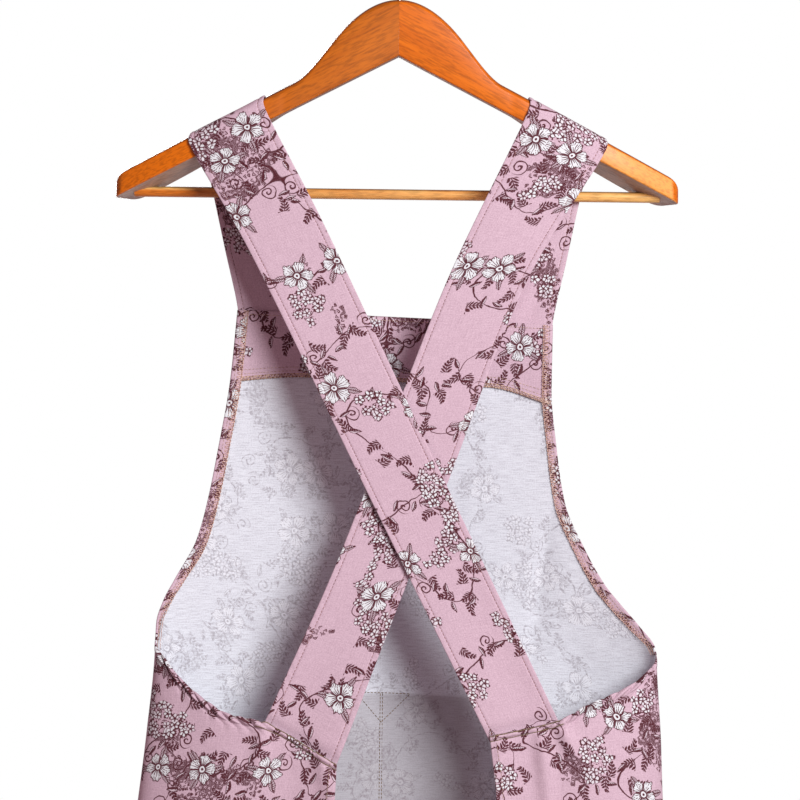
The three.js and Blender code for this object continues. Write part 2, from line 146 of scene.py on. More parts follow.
# Hanger arms
# The hanger is sawn from two pieces of orange-brown wood that are glued end to end in the middle, with the
# edges rounded over and clear lacquer on top. Each arm bends towards the front and deepens to a blunt end.
MM = 0.001
WOOD_TOP = -58.0
ARM_REACH = 221.0
ARM_JOINT = 0.02
NECK_BEND = 0.0125
SHOULDER_DROP = 24.0
SHOULDER_SLOPE = 0.52
NECK_FILLET = 18.0
UNDERSIDE_DROP = 45.0
UNDERSIDE_SLOPE = 0.515
UNDERSIDE_FALL = 4.5
BEND_START = 80.0
BEND = 0.002
ARM_DEPTH = 14.0
FLARE_START = 90.0
FLARE = 22.0
ARM_CROWN = 5.0
ARM_END = 10.0
END_DEPTH_SHARE = 0.4
END_TOP_ROUND = 8.0
END_FOOT_ROUND = 2.0
FOOT_ROUND = 1.5
ARM_STATIONS = 110
END_STATIONS = 12
CROWN_POINTS = 25
CORNER_POINTS = 5
SHARP_EDGE = math.radians(50)
WOOD_FINISH = {"Roughness": 0.34, "Specular IOR Level": 0.15, "Coat Roughness": 0.3}
LACQUER = 0.3
GRAIN = {"Scale": 1.0, "Detail": 4.0, "Distortion": 0.6}
GRAIN_SCALE, GRAIN_RANGE = (9.0, 70.0, 110.0), (0.2, 0.8)
PORES = {"Scale": 1.0, "Detail": 2.0}
PORE_SCALE, PORE_RANGE, PORE_TONE = (110.0, 640.0, 820.0), (0.34, 0.56), 0.7
PORE_BUMP, PORE_DEPTH = 0.08, 0.0004
# Where the painted light and shade on the wood falls: faces that neither look up nor out at an end.
FLAT_RANGE = (0.6, 0.15)  # how far a face looks up, from an edge to a flat
END_RANGE = (0.64, 0.48)  # how far a face looks to the side, from the arm's end to a flat
# How far a face looks up, and how dark the faces that look up are made.
EDGE_RANGE, EDGE_TONE = (0.55, 0.9), 0.3
# The painted colour is a painted highlight of the lacquer on the right arm, and painted light on the left
# arm's face, which is turned from the lamp.
ARM_WOODS = {  # dark and light grain, and a painted colour for the flat faces with the x where it begins and is full
    # Painted shade: the left arm's grain is darker than the right arm's, for the light that falls from the
    # right.
    "left": ((0.37, 0.08, 0.002, 1.0), (0.58, 0.15, 0.005, 1.0), ((0.72, 0.16, 0.003, 1.0), -0.08, -0.17)),
    "right": ((0.52, 0.1, 0.002, 1.0), (0.78, 0.185, 0.005, 1.0), ((0.84, 0.33, 0.06, 1.0), 0.1, 0.18)),
}
SAWN_DARK, SAWN_PALE = (0.42, 0.28, 0.2, 1.0), (0.64, 0.47, 0.37, 1.0)


def mix(a, b, share):
    """What lies a share of the way from a to b."""
    return a + (b - a) * share


def arm_at(x):
    """The arm at a distance x from the middle: y of its middle line, the way out across it, half its
    depth, and the heights of its top, its foot and the foot's front edge. The top is the lower of a round
    neck and a straight shoulder, blended, and the middle line bends by a square law."""
    bend = np.maximum(0.0, x - BEND_START)
    neck = NECK_BEND * x * x
    shoulder = SHOULDER_DROP + SHOULDER_SLOPE * x
    blend = np.maximum(0.0, 1 - np.abs(neck - shoulder) / NECK_FILLET)
    turn = np.arctan(2 * BEND * bend)
    flare = np.maximum(0.0, (x - FLARE_START) / (ARM_REACH - FLARE_START))
    foot = WOOD_TOP - UNDERSIDE_DROP - UNDERSIDE_SLOPE * x
    return {
        "middle": BEND * bend * bend,
        "out_x": -np.sin(turn),
        "out_y": np.cos(turn),
        "half": (ARM_DEPTH + FLARE * flare) / 2,
        "top": WOOD_TOP - np.minimum(neck, shoulder) + blend * blend * NECK_FILLET / 4,
        "foot": foot,
        "front_foot": foot - UNDERSIDE_FALL * np.sin(np.pi * np.minimum(flare, 1.0)),
    }


def arm_rings():
    """Rings of points along the +X arm: a half ellipse over the top, then a quarter round at each lower
    corner. Over the last stretch the ring shrinks by the cosine of a quarter turn."""
    end_turn = np.linspace(0, np.pi / 2, END_STATIONS + 1)[1:]
    straight = np.linspace(ARM_JOINT, ARM_REACH - ARM_END, ARM_STATIONS)
    x = np.concatenate([straight, ARM_REACH - ARM_END * (1 - np.sin(end_turn))])[:, None]
    fullness = np.concatenate([np.ones(ARM_STATIONS), np.cos(end_turn)])[:, None]
    arm = arm_at(x)
    half = arm["half"] * mix(END_DEPTH_SHARE, 1.0, fullness)
    top = arm["top"] - END_TOP_ROUND * (1 - fullness)
    foot = arm["foot"] + END_FOOT_ROUND * (1 - fullness)
    front_foot = arm["front_foot"] + END_FOOT_ROUND * (1 - fullness)
    crown = np.linspace(0, np.pi, CROWN_POINTS)
    corner = np.linspace(np.pi, 1.5 * np.pi, CORNER_POINTS)
    out = np.concatenate([
        half * np.cos(crown),
        -half + FOOT_ROUND * (1 + np.cos(corner)),
        half - FOOT_ROUND * (1 + np.cos(corner[::-1])),
    ], axis=1)
    z = np.concatenate([
        top - ARM_CROWN * (1 - np.sin(crown)),
        foot + FOOT_ROUND * (1 + np.sin(corner)),
        front_foot + FOOT_ROUND * (1 + np.sin(corner[::-1])),
    ], axis=1)
    return np.stack([x + out * arm["out_x"], arm["middle"] + out * arm["out_y"], z], axis=-1)


def tube_faces(rings, sides):
    """Quads between neighbouring rings, and a flat cap on the first and the last ring."""
    index = np.arange(rings * sides).reshape(rings, sides)
    ahead = np.roll(index, -1, axis=1)
    quads = np.stack([index[:-1], ahead[:-1], ahead[1:], index[1:]], axis=-1).reshape(-1, 4)
    return quads.tolist() + [index[0, ::-1].tolist(), index[-1].tolist()]


def new_piece(name, points, faces, materials):
    """A smooth mesh object at the origin, from points in millimetres, that rides on the one body."""
    mesh = bpy.data.meshes.new(name)
    mesh.from_pydata((np.reshape(points, (-1, 3)) * MM).tolist(), [], faces)
    mesh.shade_smooth()
    for material in materials:
        mesh.materials.append(material)
    piece = add_object(name, mesh)
    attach(piece, "root")
    return piece


def tube_piece(name, rings, materials):
    """A closed tube through rings of points, with its sharp edges kept."""
    piece = new_piece(name, rings, tube_faces(*rings.shape[:2]), materials)
    piece.data.set_sharp_from_angle(angle=SHARP_EDGE)
    return piece


def mixed(tree, share, first, second, blend="MIX"):
    """A colour between two by a share, each of them fixed or an output."""
    node = tree.nodes.new("ShaderNodeMix")
    node.data_type = "RGBA"
    node.blend_type = blend
    feed(tree, [socket for socket in node.inputs if socket.enabled], (share, first, second))
    return next(socket for socket in node.outputs if socket.enabled)


def ramp(tree, value, start, end, low=0.0, high=1.0):
    """A straight ramp from low to high as the value goes from start to end, level beyond them."""
    node = tree.nodes.new("ShaderNodeMapRange")
    feed(tree, node.inputs, (value, start, end, low, high))
    return node.outputs["Result"]


def lacquered_wood(name, slope, dark, light, painted_light_and_shade=None, lacquer=LACQUER):
    """Wood with its grain along a line that falls by the slope per millimetre of x: broad bands of tone
    from a stretched noise, fine pores from a finer one, the faces that look up darkened, and a clear
    coat. An optional colour with two x values paints the flat faces between the x where it begins and
    the x where it is full: painted light and shade that stands in for how the lamps fall on them."""
    material, tree, shader = new_material(name, WOOD_FINISH | {"Coat Weight": lacquer})
    place = add_node(tree, "ShaderNodeTexCoord").outputs["Object"]
    tilt = (0.0, -math.atan(slope), 0.0)
    along = add_node(tree, "ShaderNodeMapping", Vector=place, Rotation=tilt).outputs[0]
    stretched = add_node(tree, "ShaderNodeMapping", Vector=along, Scale=GRAIN_SCALE).outputs[0]
    bands = add_node(tree, "ShaderNodeTexNoise", Vector=stretched, **GRAIN).outputs[0]
    fine = add_node(tree, "ShaderNodeMapping", Vector=along, Scale=PORE_SCALE).outputs[0]
    pores = add_node(tree, "ShaderNodeTexNoise", Vector=fine, **PORES).outputs[0]
    tone = mixed(tree, ramp(tree, bands, *GRAIN_RANGE), dark, light)
    normal = add_node(tree, "ShaderNodeNewGeometry").outputs["Normal"]
    facing = add_node(tree, "ShaderNodeSeparateXYZ", Vector=normal).outputs
    # Painted light and shade: the flat faces towards one end take a painted colour.
    if painted_light_and_shade:
        colour, start, end = painted_light_and_shade
        flat = ramp(tree, facing["Z"], *FLAT_RANGE)
        flat = ramp(tree, facing["X"], *(math.copysign(limit, start) for limit in END_RANGE), 0.0, flat)
        across = add_node(tree, "ShaderNodeSeparateXYZ", Vector=place).outputs["X"]
        tone = mixed(tree, ramp(tree, across, start, end, 0.0, flat), tone, colour)
    streak = ramp(tree, pores, *PORE_RANGE, PORE_TONE, 1.0)
    tone = mixed(tree, 1.0, tone, streak, "MULTIPLY")
    # The faces that look up are darkened.
    gathered = ramp(tree, facing["Z"], *EDGE_RANGE, 1.0, EDGE_TONE)
    tree.links.new(mixed(tree, 1.0, tone, gathered, "MULTIPLY"), shader.inputs["Base Color"])
    bump = add_node(tree, "ShaderNodeBump", Height=pores, Strength=PORE_BUMP, Distance=PORE_DEPTH)
    tree.links.new(bump.outputs["Normal"], shader.inputs["Normal"])
    return material


for arm_side, hand in (("left", -1), ("right", 1)):
    arm_slope = hand * SHOULDER_SLOPE
    arm_woods = [
        lacquered_wood(f"wood_{arm_side}", arm_slope, *ARM_WOODS[arm_side]),
        lacquered_wood(f"sawn_{arm_side}", arm_slope, SAWN_DARK, SAWN_PALE, lacquer=0.0),
    ]
    rings = (arm_rings() * (hand, 1.0, 1.0))[:, ::hand]
    arm = tube_piece(f"wood_arm_{arm_side}", rings, arm_woods)
    stations, sides = rings.shape[:2]
    foot_side = CROWN_POINTS + CORNER_POINTS - 1  # the flat strip between the two lower corners
    sawn_side = foot_side if hand > 0 else sides - 2 - foot_side
    is_sawn = np.zeros(len(arm.data.polygons), np.int32)
    is_sawn[sawn_side:(stations - 1) * sides:sides] = 1
    arm.data.polygons.foreach_set("material_index", is_sawn)
    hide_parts(f"hanger_arm_{arm_side}")

# Bar and hook
# A turned wooden dowel joins the arm ends, and a plated wire hook is screwed into the top of the glue
# joint. The wire is bent cold: a short stem, a swan neck and a round that lies over the rail.
BAR_RADIUS = 4.25
BAR_REACH = 211.0
BAR_Y = 32.0
BAR_Z = -210.0
BAR_SIDES = 40
BAR_STATIONS = 24
# The third entry is painted shade: the bar's left end is darker where the left strap's shadow falls.
BAR_WOOD = ((0.58, 0.18, 0.025, 1.0), (1.0, 0.64, 0.22, 1.0), ((0.6, 0.16, 0.012, 1.0), -0.13, -0.165))
WIRE_RADIUS = 2.0
WIRE_SIDES = 20
WIRE_TIP = 0.04  # what is left of the radius at the rounded tip, squared
WIRE_FINISH = {"Roughness": 0.22, "Metallic": 1.0}
WIRE_MARKS = {"Scale": 420.0, "Detail": 3.0}
WIRE_TONES = ((0.6, 0.61, 0.63, 1.0), (0.8, 0.81, 0.83, 1.0))
HOOK_INSIDE = 20.0
HOOK_SOCKET = 18.0
HOOK_STEM = 6.0
HOOK_START = -58
HOOK_TIP = 196
HOOK_PITCH = 18
HOOK_STEPS = 12  # rings to each station of the wire
LEAST_GAP = 1e-9


def smooth_path(stations, along):
    """A centripetal Catmull-Rom curve through the stations, read at places counted in stations. A
    segment's end slopes come from its neighbours, weighted by the square roots of the distances between
    them."""
    first = 2 * stations[:1] - stations[1:2]
    last = 2 * stations[-1:] - stations[-2:-1]
    padded = np.concatenate([first, stations, last])
    distances = np.linalg.norm(np.diff(padded, axis=0), axis=-1, keepdims=True)
    gaps = np.maximum(np.sqrt(distances), LEAST_GAP)
    segment = np.clip(np.floor(along).astype(int), 0, len(stations) - 2)
    share = (along - segment).reshape((-1,) + (1,) * (stations.ndim - 1))
    before, start, end, after = (padded[segment + k] for k in range(4))
    gap0, gap1, gap2 = (gaps[segment + k] for k in range(3))
    slope1 = gap1 * ((start - before) / gap0 - (end - before) / (gap0 + gap1) + (end - start) / gap1)
    slope2 = gap1 * ((end - start) / gap1 - (after - start) / (gap1 + gap2) + (after - end) / gap2)
    return eased(start, end, slope1, slope2, share)


def eased(start, end, start_slope, end_slope, share):
    """A cubic from start to end with the given slopes at both."""
    ease = share * share * (3 - 2 * share)
    lead = share * (1 - share) ** 2 * start_slope
    tail = share * share * (1 - share) * end_slope
    return mix(start, end, ease) + lead - tail


def unit(ways):
    """Ways scaled to a length of one."""
    return ways / np.linalg.norm(ways, axis=-1, keepdims=True)


def rounded(distance, radius, least):
    """The height of a quarter round at a distance from its edge, as a share of the radius, its square no
    less than a least value."""
    return np.sqrt(np.clip(1 - (1 - np.minimum(distance / radius, 1.0)) ** 2, least, 1.0))


def wire_rings(path, radius, sides):
    """Round rings about a path that lies in the plane y = 0."""
    heading = unit(np.gradient(path, axis=0))
    side = np.stack([-heading[:, 2], np.zeros(len(path)), heading[:, 0]], axis=-1)
    turn = full_turn(sides)[None, :, None]
    round_way = np.cos(turn) * side[:, None] + np.sin(turn) * (0.0, 1.0, 0.0)
    return path[:, None] + np.reshape(radius, (-1, 1, 1)) * round_way


bar_x = np.linspace(-BAR_REACH, BAR_REACH, BAR_STATIONS)
bar_turn = full_turn(BAR_SIDES)
bar_rings = np.stack(np.broadcast_arrays(
    bar_x[:, None], BAR_Y + BAR_RADIUS * np.cos(bar_turn), BAR_Z + BAR_RADIUS * np.sin(bar_turn)
), axis=-1)
bar = tube_piece("wood_bar", bar_rings, [lacquered_wood("wood_bar", 0.0, *BAR_WOOD)])
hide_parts("hanger_bar")

hook_turn = np.radians(np.arange(HOOK_START, HOOK_TIP + 1, HOOK_PITCH))
hook_radius = HOOK_INSIDE + WIRE_RADIUS
hook_stem_z = WOOD_TOP + np.array([-HOOK_SOCKET, -HOOK_SOCKET / 2, 0.0, HOOK_STEM])
hook_stations = np.zeros((len(hook_stem_z) + len(hook_turn), 3))
hook_stations[:, 0] = np.concatenate([np.zeros(len(hook_stem_z)), hook_radius * np.cos(hook_turn)])
hook_stations[:, 2] = np.concatenate([hook_stem_z, hook_radius * np.sin(hook_turn) - HOOK_INSIDE])
hook_along = np.linspace(0, len(hook_stations) - 1, HOOK_STEPS * (len(hook_stations) - 1) + 1)
hook_path = smooth_path(hook_stations, hook_along)
hook_to_tip = np.linalg.norm(hook_path - hook_path[-1], axis=-1)
hook_rings = wire_rings(hook_path, WIRE_RADIUS * rounded(hook_to_tip, WIRE_RADIUS, WIRE_TIP), WIRE_SIDES)

bright_wire, wire_tree, wire_shader = new_material("bright_wire", WIRE_FINISH)
wire_place = add_node(wire_tree, "ShaderNodeTexCoord").outputs["Object"]
wire_marks = add_node(wire_tree, "ShaderNodeTexNoise", Vector=wire_place, **WIRE_MARKS)
wire_tone = add_node(wire_tree, "ShaderNodeValToRGB", Fac=wire_marks.outputs[0])
for element, tone in zip(wire_tone.color_ramp.elements, WIRE_TONES):
    element.color = tone
wire_tree.links.new(wire_tone.outputs["Color"], wire_shader.inputs["Base Color"])
hook = tube_piece("wire_hook", hook_rings, [bright_wire])
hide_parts("hanger_hook")

# Printed cotton
# All the cloth is one plain-weave cotton, screen printed on one side in burgundy line and white on a pink
# ground. The design is a trailing vine with open flowers, sprigs, curls, bunches of blossom and bushes.
COTTON_FINISH = {"Roughness": 0.9, "Sheen Weight": 0.04, "Sheen Roughness": 0.5, "Specular IOR Level": 0.15}
THREAD_SCALES = ((90.0, 1500.0, 1.0), (1500.0, 90.0, 1.0))
WEAVE_BUMP, WEAVE_DEPTH = 0.35, 0.0005
PINK_DEEP = (0.46, 0.32, 0.39, 1.0)
PINK_PALE = (0.66, 0.49, 0.575, 1.0)
PINK_SLUBS, PINK_SPECKLE = 1.3, 1.1
SPECKLE_SIZE = 1.1
BURGUNDY = (0.075, 0.013, 0.02, 1.0)
BURGUNDY_WEAR, BURGUNDY_SHARE = 0.6, 0.97
WHITE_INK = (0.7, 0.73, 0.76, 1.0)
REVERSE_PALE = (0.7, 0.735, 0.795, 1.0)
REVERSE_STREAK = (0.52, 0.535, 0.59, 1.0)
STREAK_WEFT, STREAK_FLUFF, STREAK_SHARE = 2.2, 1.4, 0.33
GHOST = (0.36, 0.35, 0.39, 1.0)
GHOST_SHARE = 0.85
GHOST_WHITE = (0.86, 0.88, 0.92, 1.0)
GHOST_WHITE_SHARE = 0.3
GHOST_BLOTCH, BLOTCH_CONTRAST, BLOTCH_SHARE = 2.4, 3.0, 0.55
BACKED_SHADE = (0.2, 0.16, 0.17, 1.0)  # painted shade where a second cloth behind keeps the light out
BACKED_SHADE_SHARE = 0.48
FULL_TURN = 2 * math.pi
NOISE_MIDDLE = 0.5
INK_EDGE = 0.3  # millimetres over which a drawn line fades
WAVER_SIZE, WAVER_REACH = 7.0, 3.0  # how a drawn line wanders
VINE_SIZE = 68.0
VINE_PROBE = 1.5
VINE_LEAST_SLOPE = 0.0035
SPRIG_SIZE, SPRIG_REACH = 17.0, 6.2
SPRIG_LEAF_PITCH = 2.7
CURL_CHANCE = 0.24
LEAF_SIZE, LEAF_LENGTH, LEAF_WIDTH = 14.0, 5.4, 1.9
FLOWER_SIZE, FLOWER_LEAVES, PETALS = 58.0, 3, 5
PETAL_LINES, RIM_LINES = 25, 45
BLOSSOM_SIZE, BLOSSOM_PATCH, BLOSSOM_LEVEL = 7.4, 44.0, 0.69
FOLIAGE_SIZE, FOLIAGE_PATCH, FOLIAGE_LEVEL = 3.6, 74.0, 0.665


class Field:
    """A number that varies over the cloth: one output of a node, with the usual operators."""

    def __init__(self, tree, socket):
        self.tree = tree
        self.socket = socket

    def math(self, operation, *others, clamp=False):
        """A math node of the field and what else it takes."""
        node = self.tree.nodes.new("ShaderNodeMath")
        node.operation = operation
        node.use_clamp = clamp
        values = [value.socket if isinstance(value, Field) else value for value in (self, *others)]
        feed(self.tree, node.inputs, values)
        return Field(self.tree, node.outputs[0])

    __add__ = functools.partialmethod(math, "ADD")
    __sub__ = functools.partialmethod(math, "SUBTRACT")
    __mul__ = functools.partialmethod(math, "MULTIPLY")
    __truediv__ = functools.partialmethod(math, "DIVIDE")
    __pow__ = functools.partialmethod(math, "POWER")
    __abs__ = functools.partialmethod(math, "ABSOLUTE")
    __or__ = functools.partialmethod(math, "MAXIMUM")
    __gt__ = functools.partialmethod(math, "GREATER_THAN")
    __lt__ = functools.partialmethod(math, "LESS_THAN")

    def rest(self):
        """What is left to one."""
        return (self * -1.0) + 1.0

    def held(self):
        """The field held between 0 and 1."""
        return self.math("ADD", 0.0, clamp=True)

    def inside(self, edge=INK_EDGE):
        """1 where the field is below 0, 0 where it is over the edge, and a ramp between."""
        return (self * (-1.0 / edge)).math("ADD", 1.0, clamp=True)

    def sawtooth(self):
        """The distance from the middle of each unit step."""
        return abs(self.math("FRACT") - 0.5)


def parts(tree, vector):
    """The x, y and z of a vector as fields."""
    node = add_node(tree, "ShaderNodeSeparateXYZ", Vector=vector)
    return [Field(tree, output) for output in node.outputs]


def noise(tree, place, size, detail=0.0):
    """A smooth noise over the cloth whose swells are about a size apart."""
    node = add_node(tree, "ShaderNodeTexNoise", Vector=place, Scale=1.0 / size, Detail=detail)
    node.noise_dimensions = "2D"
    return Field(tree, node.outputs[0])


def vector_math(tree, operation, *values):
    """A vector worked out from others by one operation."""
    node = tree.nodes.new("ShaderNodeVectorMath")
    node.operation = operation
    feed(tree, [socket for socket in node.inputs if socket.enabled], values)
    return node.outputs[0]


def moved(tree, place, x, y):
    """The place shifted by x and y."""
    return vector_math(tree, "ADD", place, (x, y, 0.0))


def spots(tree, place, size, spread):
    """Scattered spots about a size apart: the way from the nearest one, turned at random, a chance of the
    spot's own, and the spot's place."""
    node = add_node(tree, "ShaderNodeTexVoronoi", Vector=place, Scale=1.0 / size, Randomness=spread)
    node.voronoi_dimensions = "2D"
    spot = node.outputs["Position"]
    way = vector_math(tree, "SUBTRACT", place, spot)
    turn, chance, _ = parts(tree, node.outputs["Color"])
    angle = turn * FULL_TURN
    turned = add_node(tree, "ShaderNodeVectorRotate", Vector=way, Angle=angle.socket)
    turned.rotation_type = "Z_AXIS"
    x, y, _ = parts(tree, turned.outputs[0])
    return x, y, chance, spot


def by_vine(tree, spot, reach):
    """1 at spots near the vine, where its slow noise is within a reach of the vine's level."""
    return abs(noise(tree, spot, VINE_SIZE) - NOISE_MIDDLE) < reach


def polar(x, y):
    """The distance from a spot and the angle round it."""
    return (x * x + y * y) ** 0.5, y.math("ARCTAN2", x)


def ray_distance(radius, angle, count):
    """The distance to the nearest gap between a count of even rays from a spot."""
    return (angle * (count / FULL_TURN)).sawtooth() * radius * (FULL_TURN / count)


def vine(tree, place, patch=30.0, thick=1.0, thin=0.16):
    """A stem along the level line of a slow noise. The distance from the line is the noise's difference
    from its level over its slope."""
    middle = noise(tree, place, VINE_SIZE)
    ahead = noise(tree, moved(tree, place, VINE_PROBE, 0.0), VINE_SIZE) - middle
    above = noise(tree, moved(tree, place, 0.0, VINE_PROBE), VINE_SIZE) - middle
    slope = ((ahead * ahead + above * above) ** 0.5 / VINE_PROBE) | VINE_LEAST_SLOPE
    away = (middle - NOISE_MIDDLE) / slope
    thickness = noise(tree, place, patch) * thick - thin
    return (abs(away) - thickness).inside()


def sprig(
    tree, place, spread=0.75, reach=0.115, bend=0.05, taper=0.25, leaf_length=3.5, lean=0.8, leaf_half=0.95,
    stem=0.28, coil=3.6, curl_line=0.62, curl_taper=0.06, curl_rim=6.4,
):
    """Sprigs and curls beside the vine. A sprig is a bent stem with pairs of leaves that lean to its tip
    and shorten towards it, each leaf a parabola. A curl is a spiral whose line thins out towards its
    rim."""
    x, y, chance, spot = spots(tree, place, SPRIG_SIZE, spread)
    near = by_vine(tree, spot, reach)
    away = abs(y - x * x * bend)
    length = x * -taper + leaf_length
    along = ((x - away * lean) / SPRIG_LEAF_PITCH).sawtooth() * SPRIG_LEAF_PITCH
    out = away / length * 2.0 - 1.0
    leaves = (along - (out * out).rest() * leaf_half).inside() | (away - stem).inside()
    leaves = leaves * (abs(x) - SPRIG_REACH).inside()
    radius, angle = polar(x, y)
    spiral = (radius / coil - angle / FULL_TURN).sawtooth() * coil - (radius * -curl_taper + curl_line)
    curl = spiral.inside() * (radius - curl_rim).inside()
    is_curl = chance < CURL_CHANCE
    return (leaves * is_curl.rest() | curl * is_curl) * near


def leaf(
    tree, place, spread=0.8, reach=0.075, tooth=1.3, tooth_depth=0.7, hatch_lean=1.8, hatch_pitch=3.6,
    hatch_range=1.6, margin=0.5, midrib=0.22, pale=0.3,
):
    """Pointed leaves near the vine: the edge is a parabola about the midrib with small teeth, and one half
    is hatched."""
    x, y, chance, spot = spots(tree, place, LEAF_SIZE, spread)
    near = by_vine(tree, spot, reach)
    teeth = (x / tooth).sawtooth() * tooth_depth
    edge = abs(y) - ((x / LEAF_LENGTH) ** 2.0).rest() * LEAF_WIDTH + teeth
    body = edge.inside() * near
    hatched = (y * hatch_lean + (x * hatch_pitch).math("SINE")) > chance * hatch_range - hatch_range / 2
    light = (edge + margin).inside() * (abs(y) - midrib).inside().rest() * hatched * near
    return body, body - light, light * pale


def blossom(
    tree, place, spread=0.7, petal=1.5, heart=2.3, ragged_size=2.0, ragged=1.4, parting=0.4, line=0.22,
    eye=0.75, margin=0.55, leaf_size=1.7, leaf_reach=1.5, pale=0.5,
):
    """Bunches of small flowers with five petals and a dark eye, the gaps between them filled with dark
    leaves."""
    x, y, chance, spot = spots(tree, place, BLOSSOM_SIZE, spread)
    bunch = noise(tree, spot, BLOSSOM_PATCH) > BLOSSOM_LEVEL
    radius, angle = polar(x, y)
    wave = abs((angle * (PETALS / 2)).math("COSINE"))
    edge = radius - wave * petal - heart + noise(tree, place, ragged_size) * ragged - ragged / 2
    body = edge.inside() * bunch
    dark = (wave * radius * parting - line).inside() | (radius - eye).inside()
    light = (edge + margin).inside() * dark.rest() * bunch
    leaves = (noise(tree, place, leaf_size) > NOISE_MIDDLE) * (edge - leaf_reach).inside() * bunch
    return body | leaves, (body | leaves) - light, light * (chance * pale + pale)


def foliage(
    tree, place, spread=0.9, apart=(500.0, 90.0), lobes=3.5, frill=0.25, scallop_size=1.25, line=0.24,
    foot=-0.6, dot=0.75, stroke_lean=0.6, stroke_pitch=0.9, stroke=0.2, shade_patch=20.0, shade_from=1.3,
):
    """Engraved bushes in patches of a noise: open scallops with a dark spot in each, and short shading
    strokes between them towards the foot of the patch."""
    x, y, chance, spot = spots(tree, place, FOLIAGE_SIZE, spread)
    patch = noise(tree, moved(tree, spot, *apart), FOLIAGE_PATCH, detail=2.0) - FOLIAGE_LEVEL
    radius, angle = polar(x, y)
    frilled = radius + (angle * lobes).math("SINE") * frill
    scallop = (abs(frilled - scallop_size) - line).inside() * (y > foot) | (radius - chance * dot).inside()
    strokes = ((x + y * stroke_lean) / stroke_pitch).sawtooth() * stroke_pitch - stroke
    dense = noise(tree, spot, shade_patch) > NOISE_MIDDLE
    return (scallop | strokes.inside() * dense * (radius > shade_from)) * (patch > 0.0)


def flower(
    tree, place, spread=0.75, reach=0.15, smallest=10.8, growth=2.6, leaf_turn=5.0, leaf_middle=1.05,
    leaf_half=0.62, leaf_width=2.6, tooth=1.3, tooth_depth=0.8, vein_lean=1.2, vein_pitch=1.5, vein=0.22,
    leaf_margin=0.5, midrib=0.25, leaf_pale=0.25, notch=0.36, ragged_size=3.0, ragged=3.0, fine_size=1.8,
    fine_edge=0.2, foot_taper=0.02, foot_line=0.3, foot_ragged=10.0, foot_reach=1.1, heart=2.7,
    tick_line=0.16, tick_ragged=6.0, tick_reach=0.9, parting=0.6, parting_line=0.36, parting_reach=0.86,
    ring=2.8, ring_line=0.4, eye=0.8, margin=0.75,
):
    """Open flowers on the vine: five broad petals with a wavering edge, engraved lines from the foot and
    from the rim of each petal, a ringed eye, and three hatched leaves that spread from behind."""
    x, y, chance, spot = spots(tree, place, FLOWER_SIZE, spread)
    near = by_vine(tree, spot, reach)
    radius, angle = polar(x, y)
    size = chance * growth + smallest
    leaf_out = (angle * (FLOWER_LEAVES / FULL_TURN) + chance * leaf_turn).sawtooth() * radius
    leaf_out = leaf_out * (FULL_TURN / FLOWER_LEAVES)
    leaf_along = (radius / size - leaf_middle) / leaf_half
    leaf_edge = leaf_out - (leaf_along * leaf_along).rest() * leaf_width
    leaf_edge = leaf_edge + (radius / tooth).sawtooth() * tooth_depth
    leaves = leaf_edge.inside() * near
    veins = ((radius - leaf_out * vein_lean) / vein_pitch).sawtooth() < vein
    leaf_light = (leaf_edge + leaf_margin).inside() * veins.rest()
    leaf_light = leaf_light * (leaf_out - midrib).inside().rest() * near
    share = (angle * (PETALS / FULL_TURN)).sawtooth() * 2.0
    rim = size * ((share ** 3.0) * -notch + 1.0)
    edge = radius - rim + noise(tree, place, ragged_size) * ragged - ragged / 2
    body = edge.inside() * near
    fine = noise(tree, place, fine_size)
    foot = ray_distance(radius, angle, PETAL_LINES)
    foot = (foot + radius * foot_taper - foot_line).inside(fine_edge)
    foot = foot * (radius + fine * foot_ragged - size * foot_reach).inside() * (radius > heart)
    ticks = ray_distance(radius, angle, RIM_LINES)
    ticks = (ticks - tick_line).inside(fine_edge) * (edge + fine * tick_ragged - tick_reach > 0.0)
    between = (share.rest() * radius * parting - parting_line).inside()
    between = between * (radius - size * parting_reach).inside() * (radius > heart)
    middle = (abs(radius - ring) - ring_line).inside() | (radius - eye).inside()
    light = (edge + margin).inside() * (foot | ticks | between | middle).rest() * near
    cover = body | leaves
    ink = (leaves - leaf_light) * body.rest() + body - light
    return cover, ink, light + leaf_light * body.rest() * leaf_pale


def printed_design():
    """The design as a group from a place on the flat cloth, in metres, to shares of burgundy and of white.
    Each motif is laid over those before it."""
    tree = bpy.data.node_groups.new("printed_design", "ShaderNodeTree")
    tree.interface.new_socket("Place", in_out="INPUT", socket_type="NodeSocketVector")
    for name in ("Burgundy", "White"):
        tree.interface.new_socket(name, in_out="OUTPUT", socket_type="NodeSocketFloat")
    flat = tree.nodes.new("NodeGroupInput")
    printed = tree.nodes.new("NodeGroupOutput")
    in_mm = vector_math(tree, "SCALE", flat.outputs["Place"], 1 / MM)
    waver = add_node(tree, "ShaderNodeTexNoise", Vector=in_mm, Scale=1 / WAVER_SIZE, Detail=1.0)
    place = vector_math(tree, "MULTIPLY_ADD", waver.outputs["Color"], (WAVER_REACH, WAVER_REACH, 0.0), in_mm)
    burgundy = foliage(tree, place) | vine(tree, place)
    burgundy = burgundy | sprig(tree, place)
    cover, ink, white = leaf(tree, place)
    burgundy = burgundy * cover.rest() + ink
    for motif in (blossom, flower):
        cover, ink, light = motif(tree, place)
        burgundy = burgundy * cover.rest() + ink
        white = white * cover.rest() + light
    feed(tree, printed.inputs, (burgundy.socket, white.socket))
    return tree


def cloth_place(tree):
    """The place on the flat cloth, from the piece's own map."""
    node = tree.nodes.new("ShaderNodeUVMap")
    node.uv_map = "cloth"
    return node.outputs["UV"]


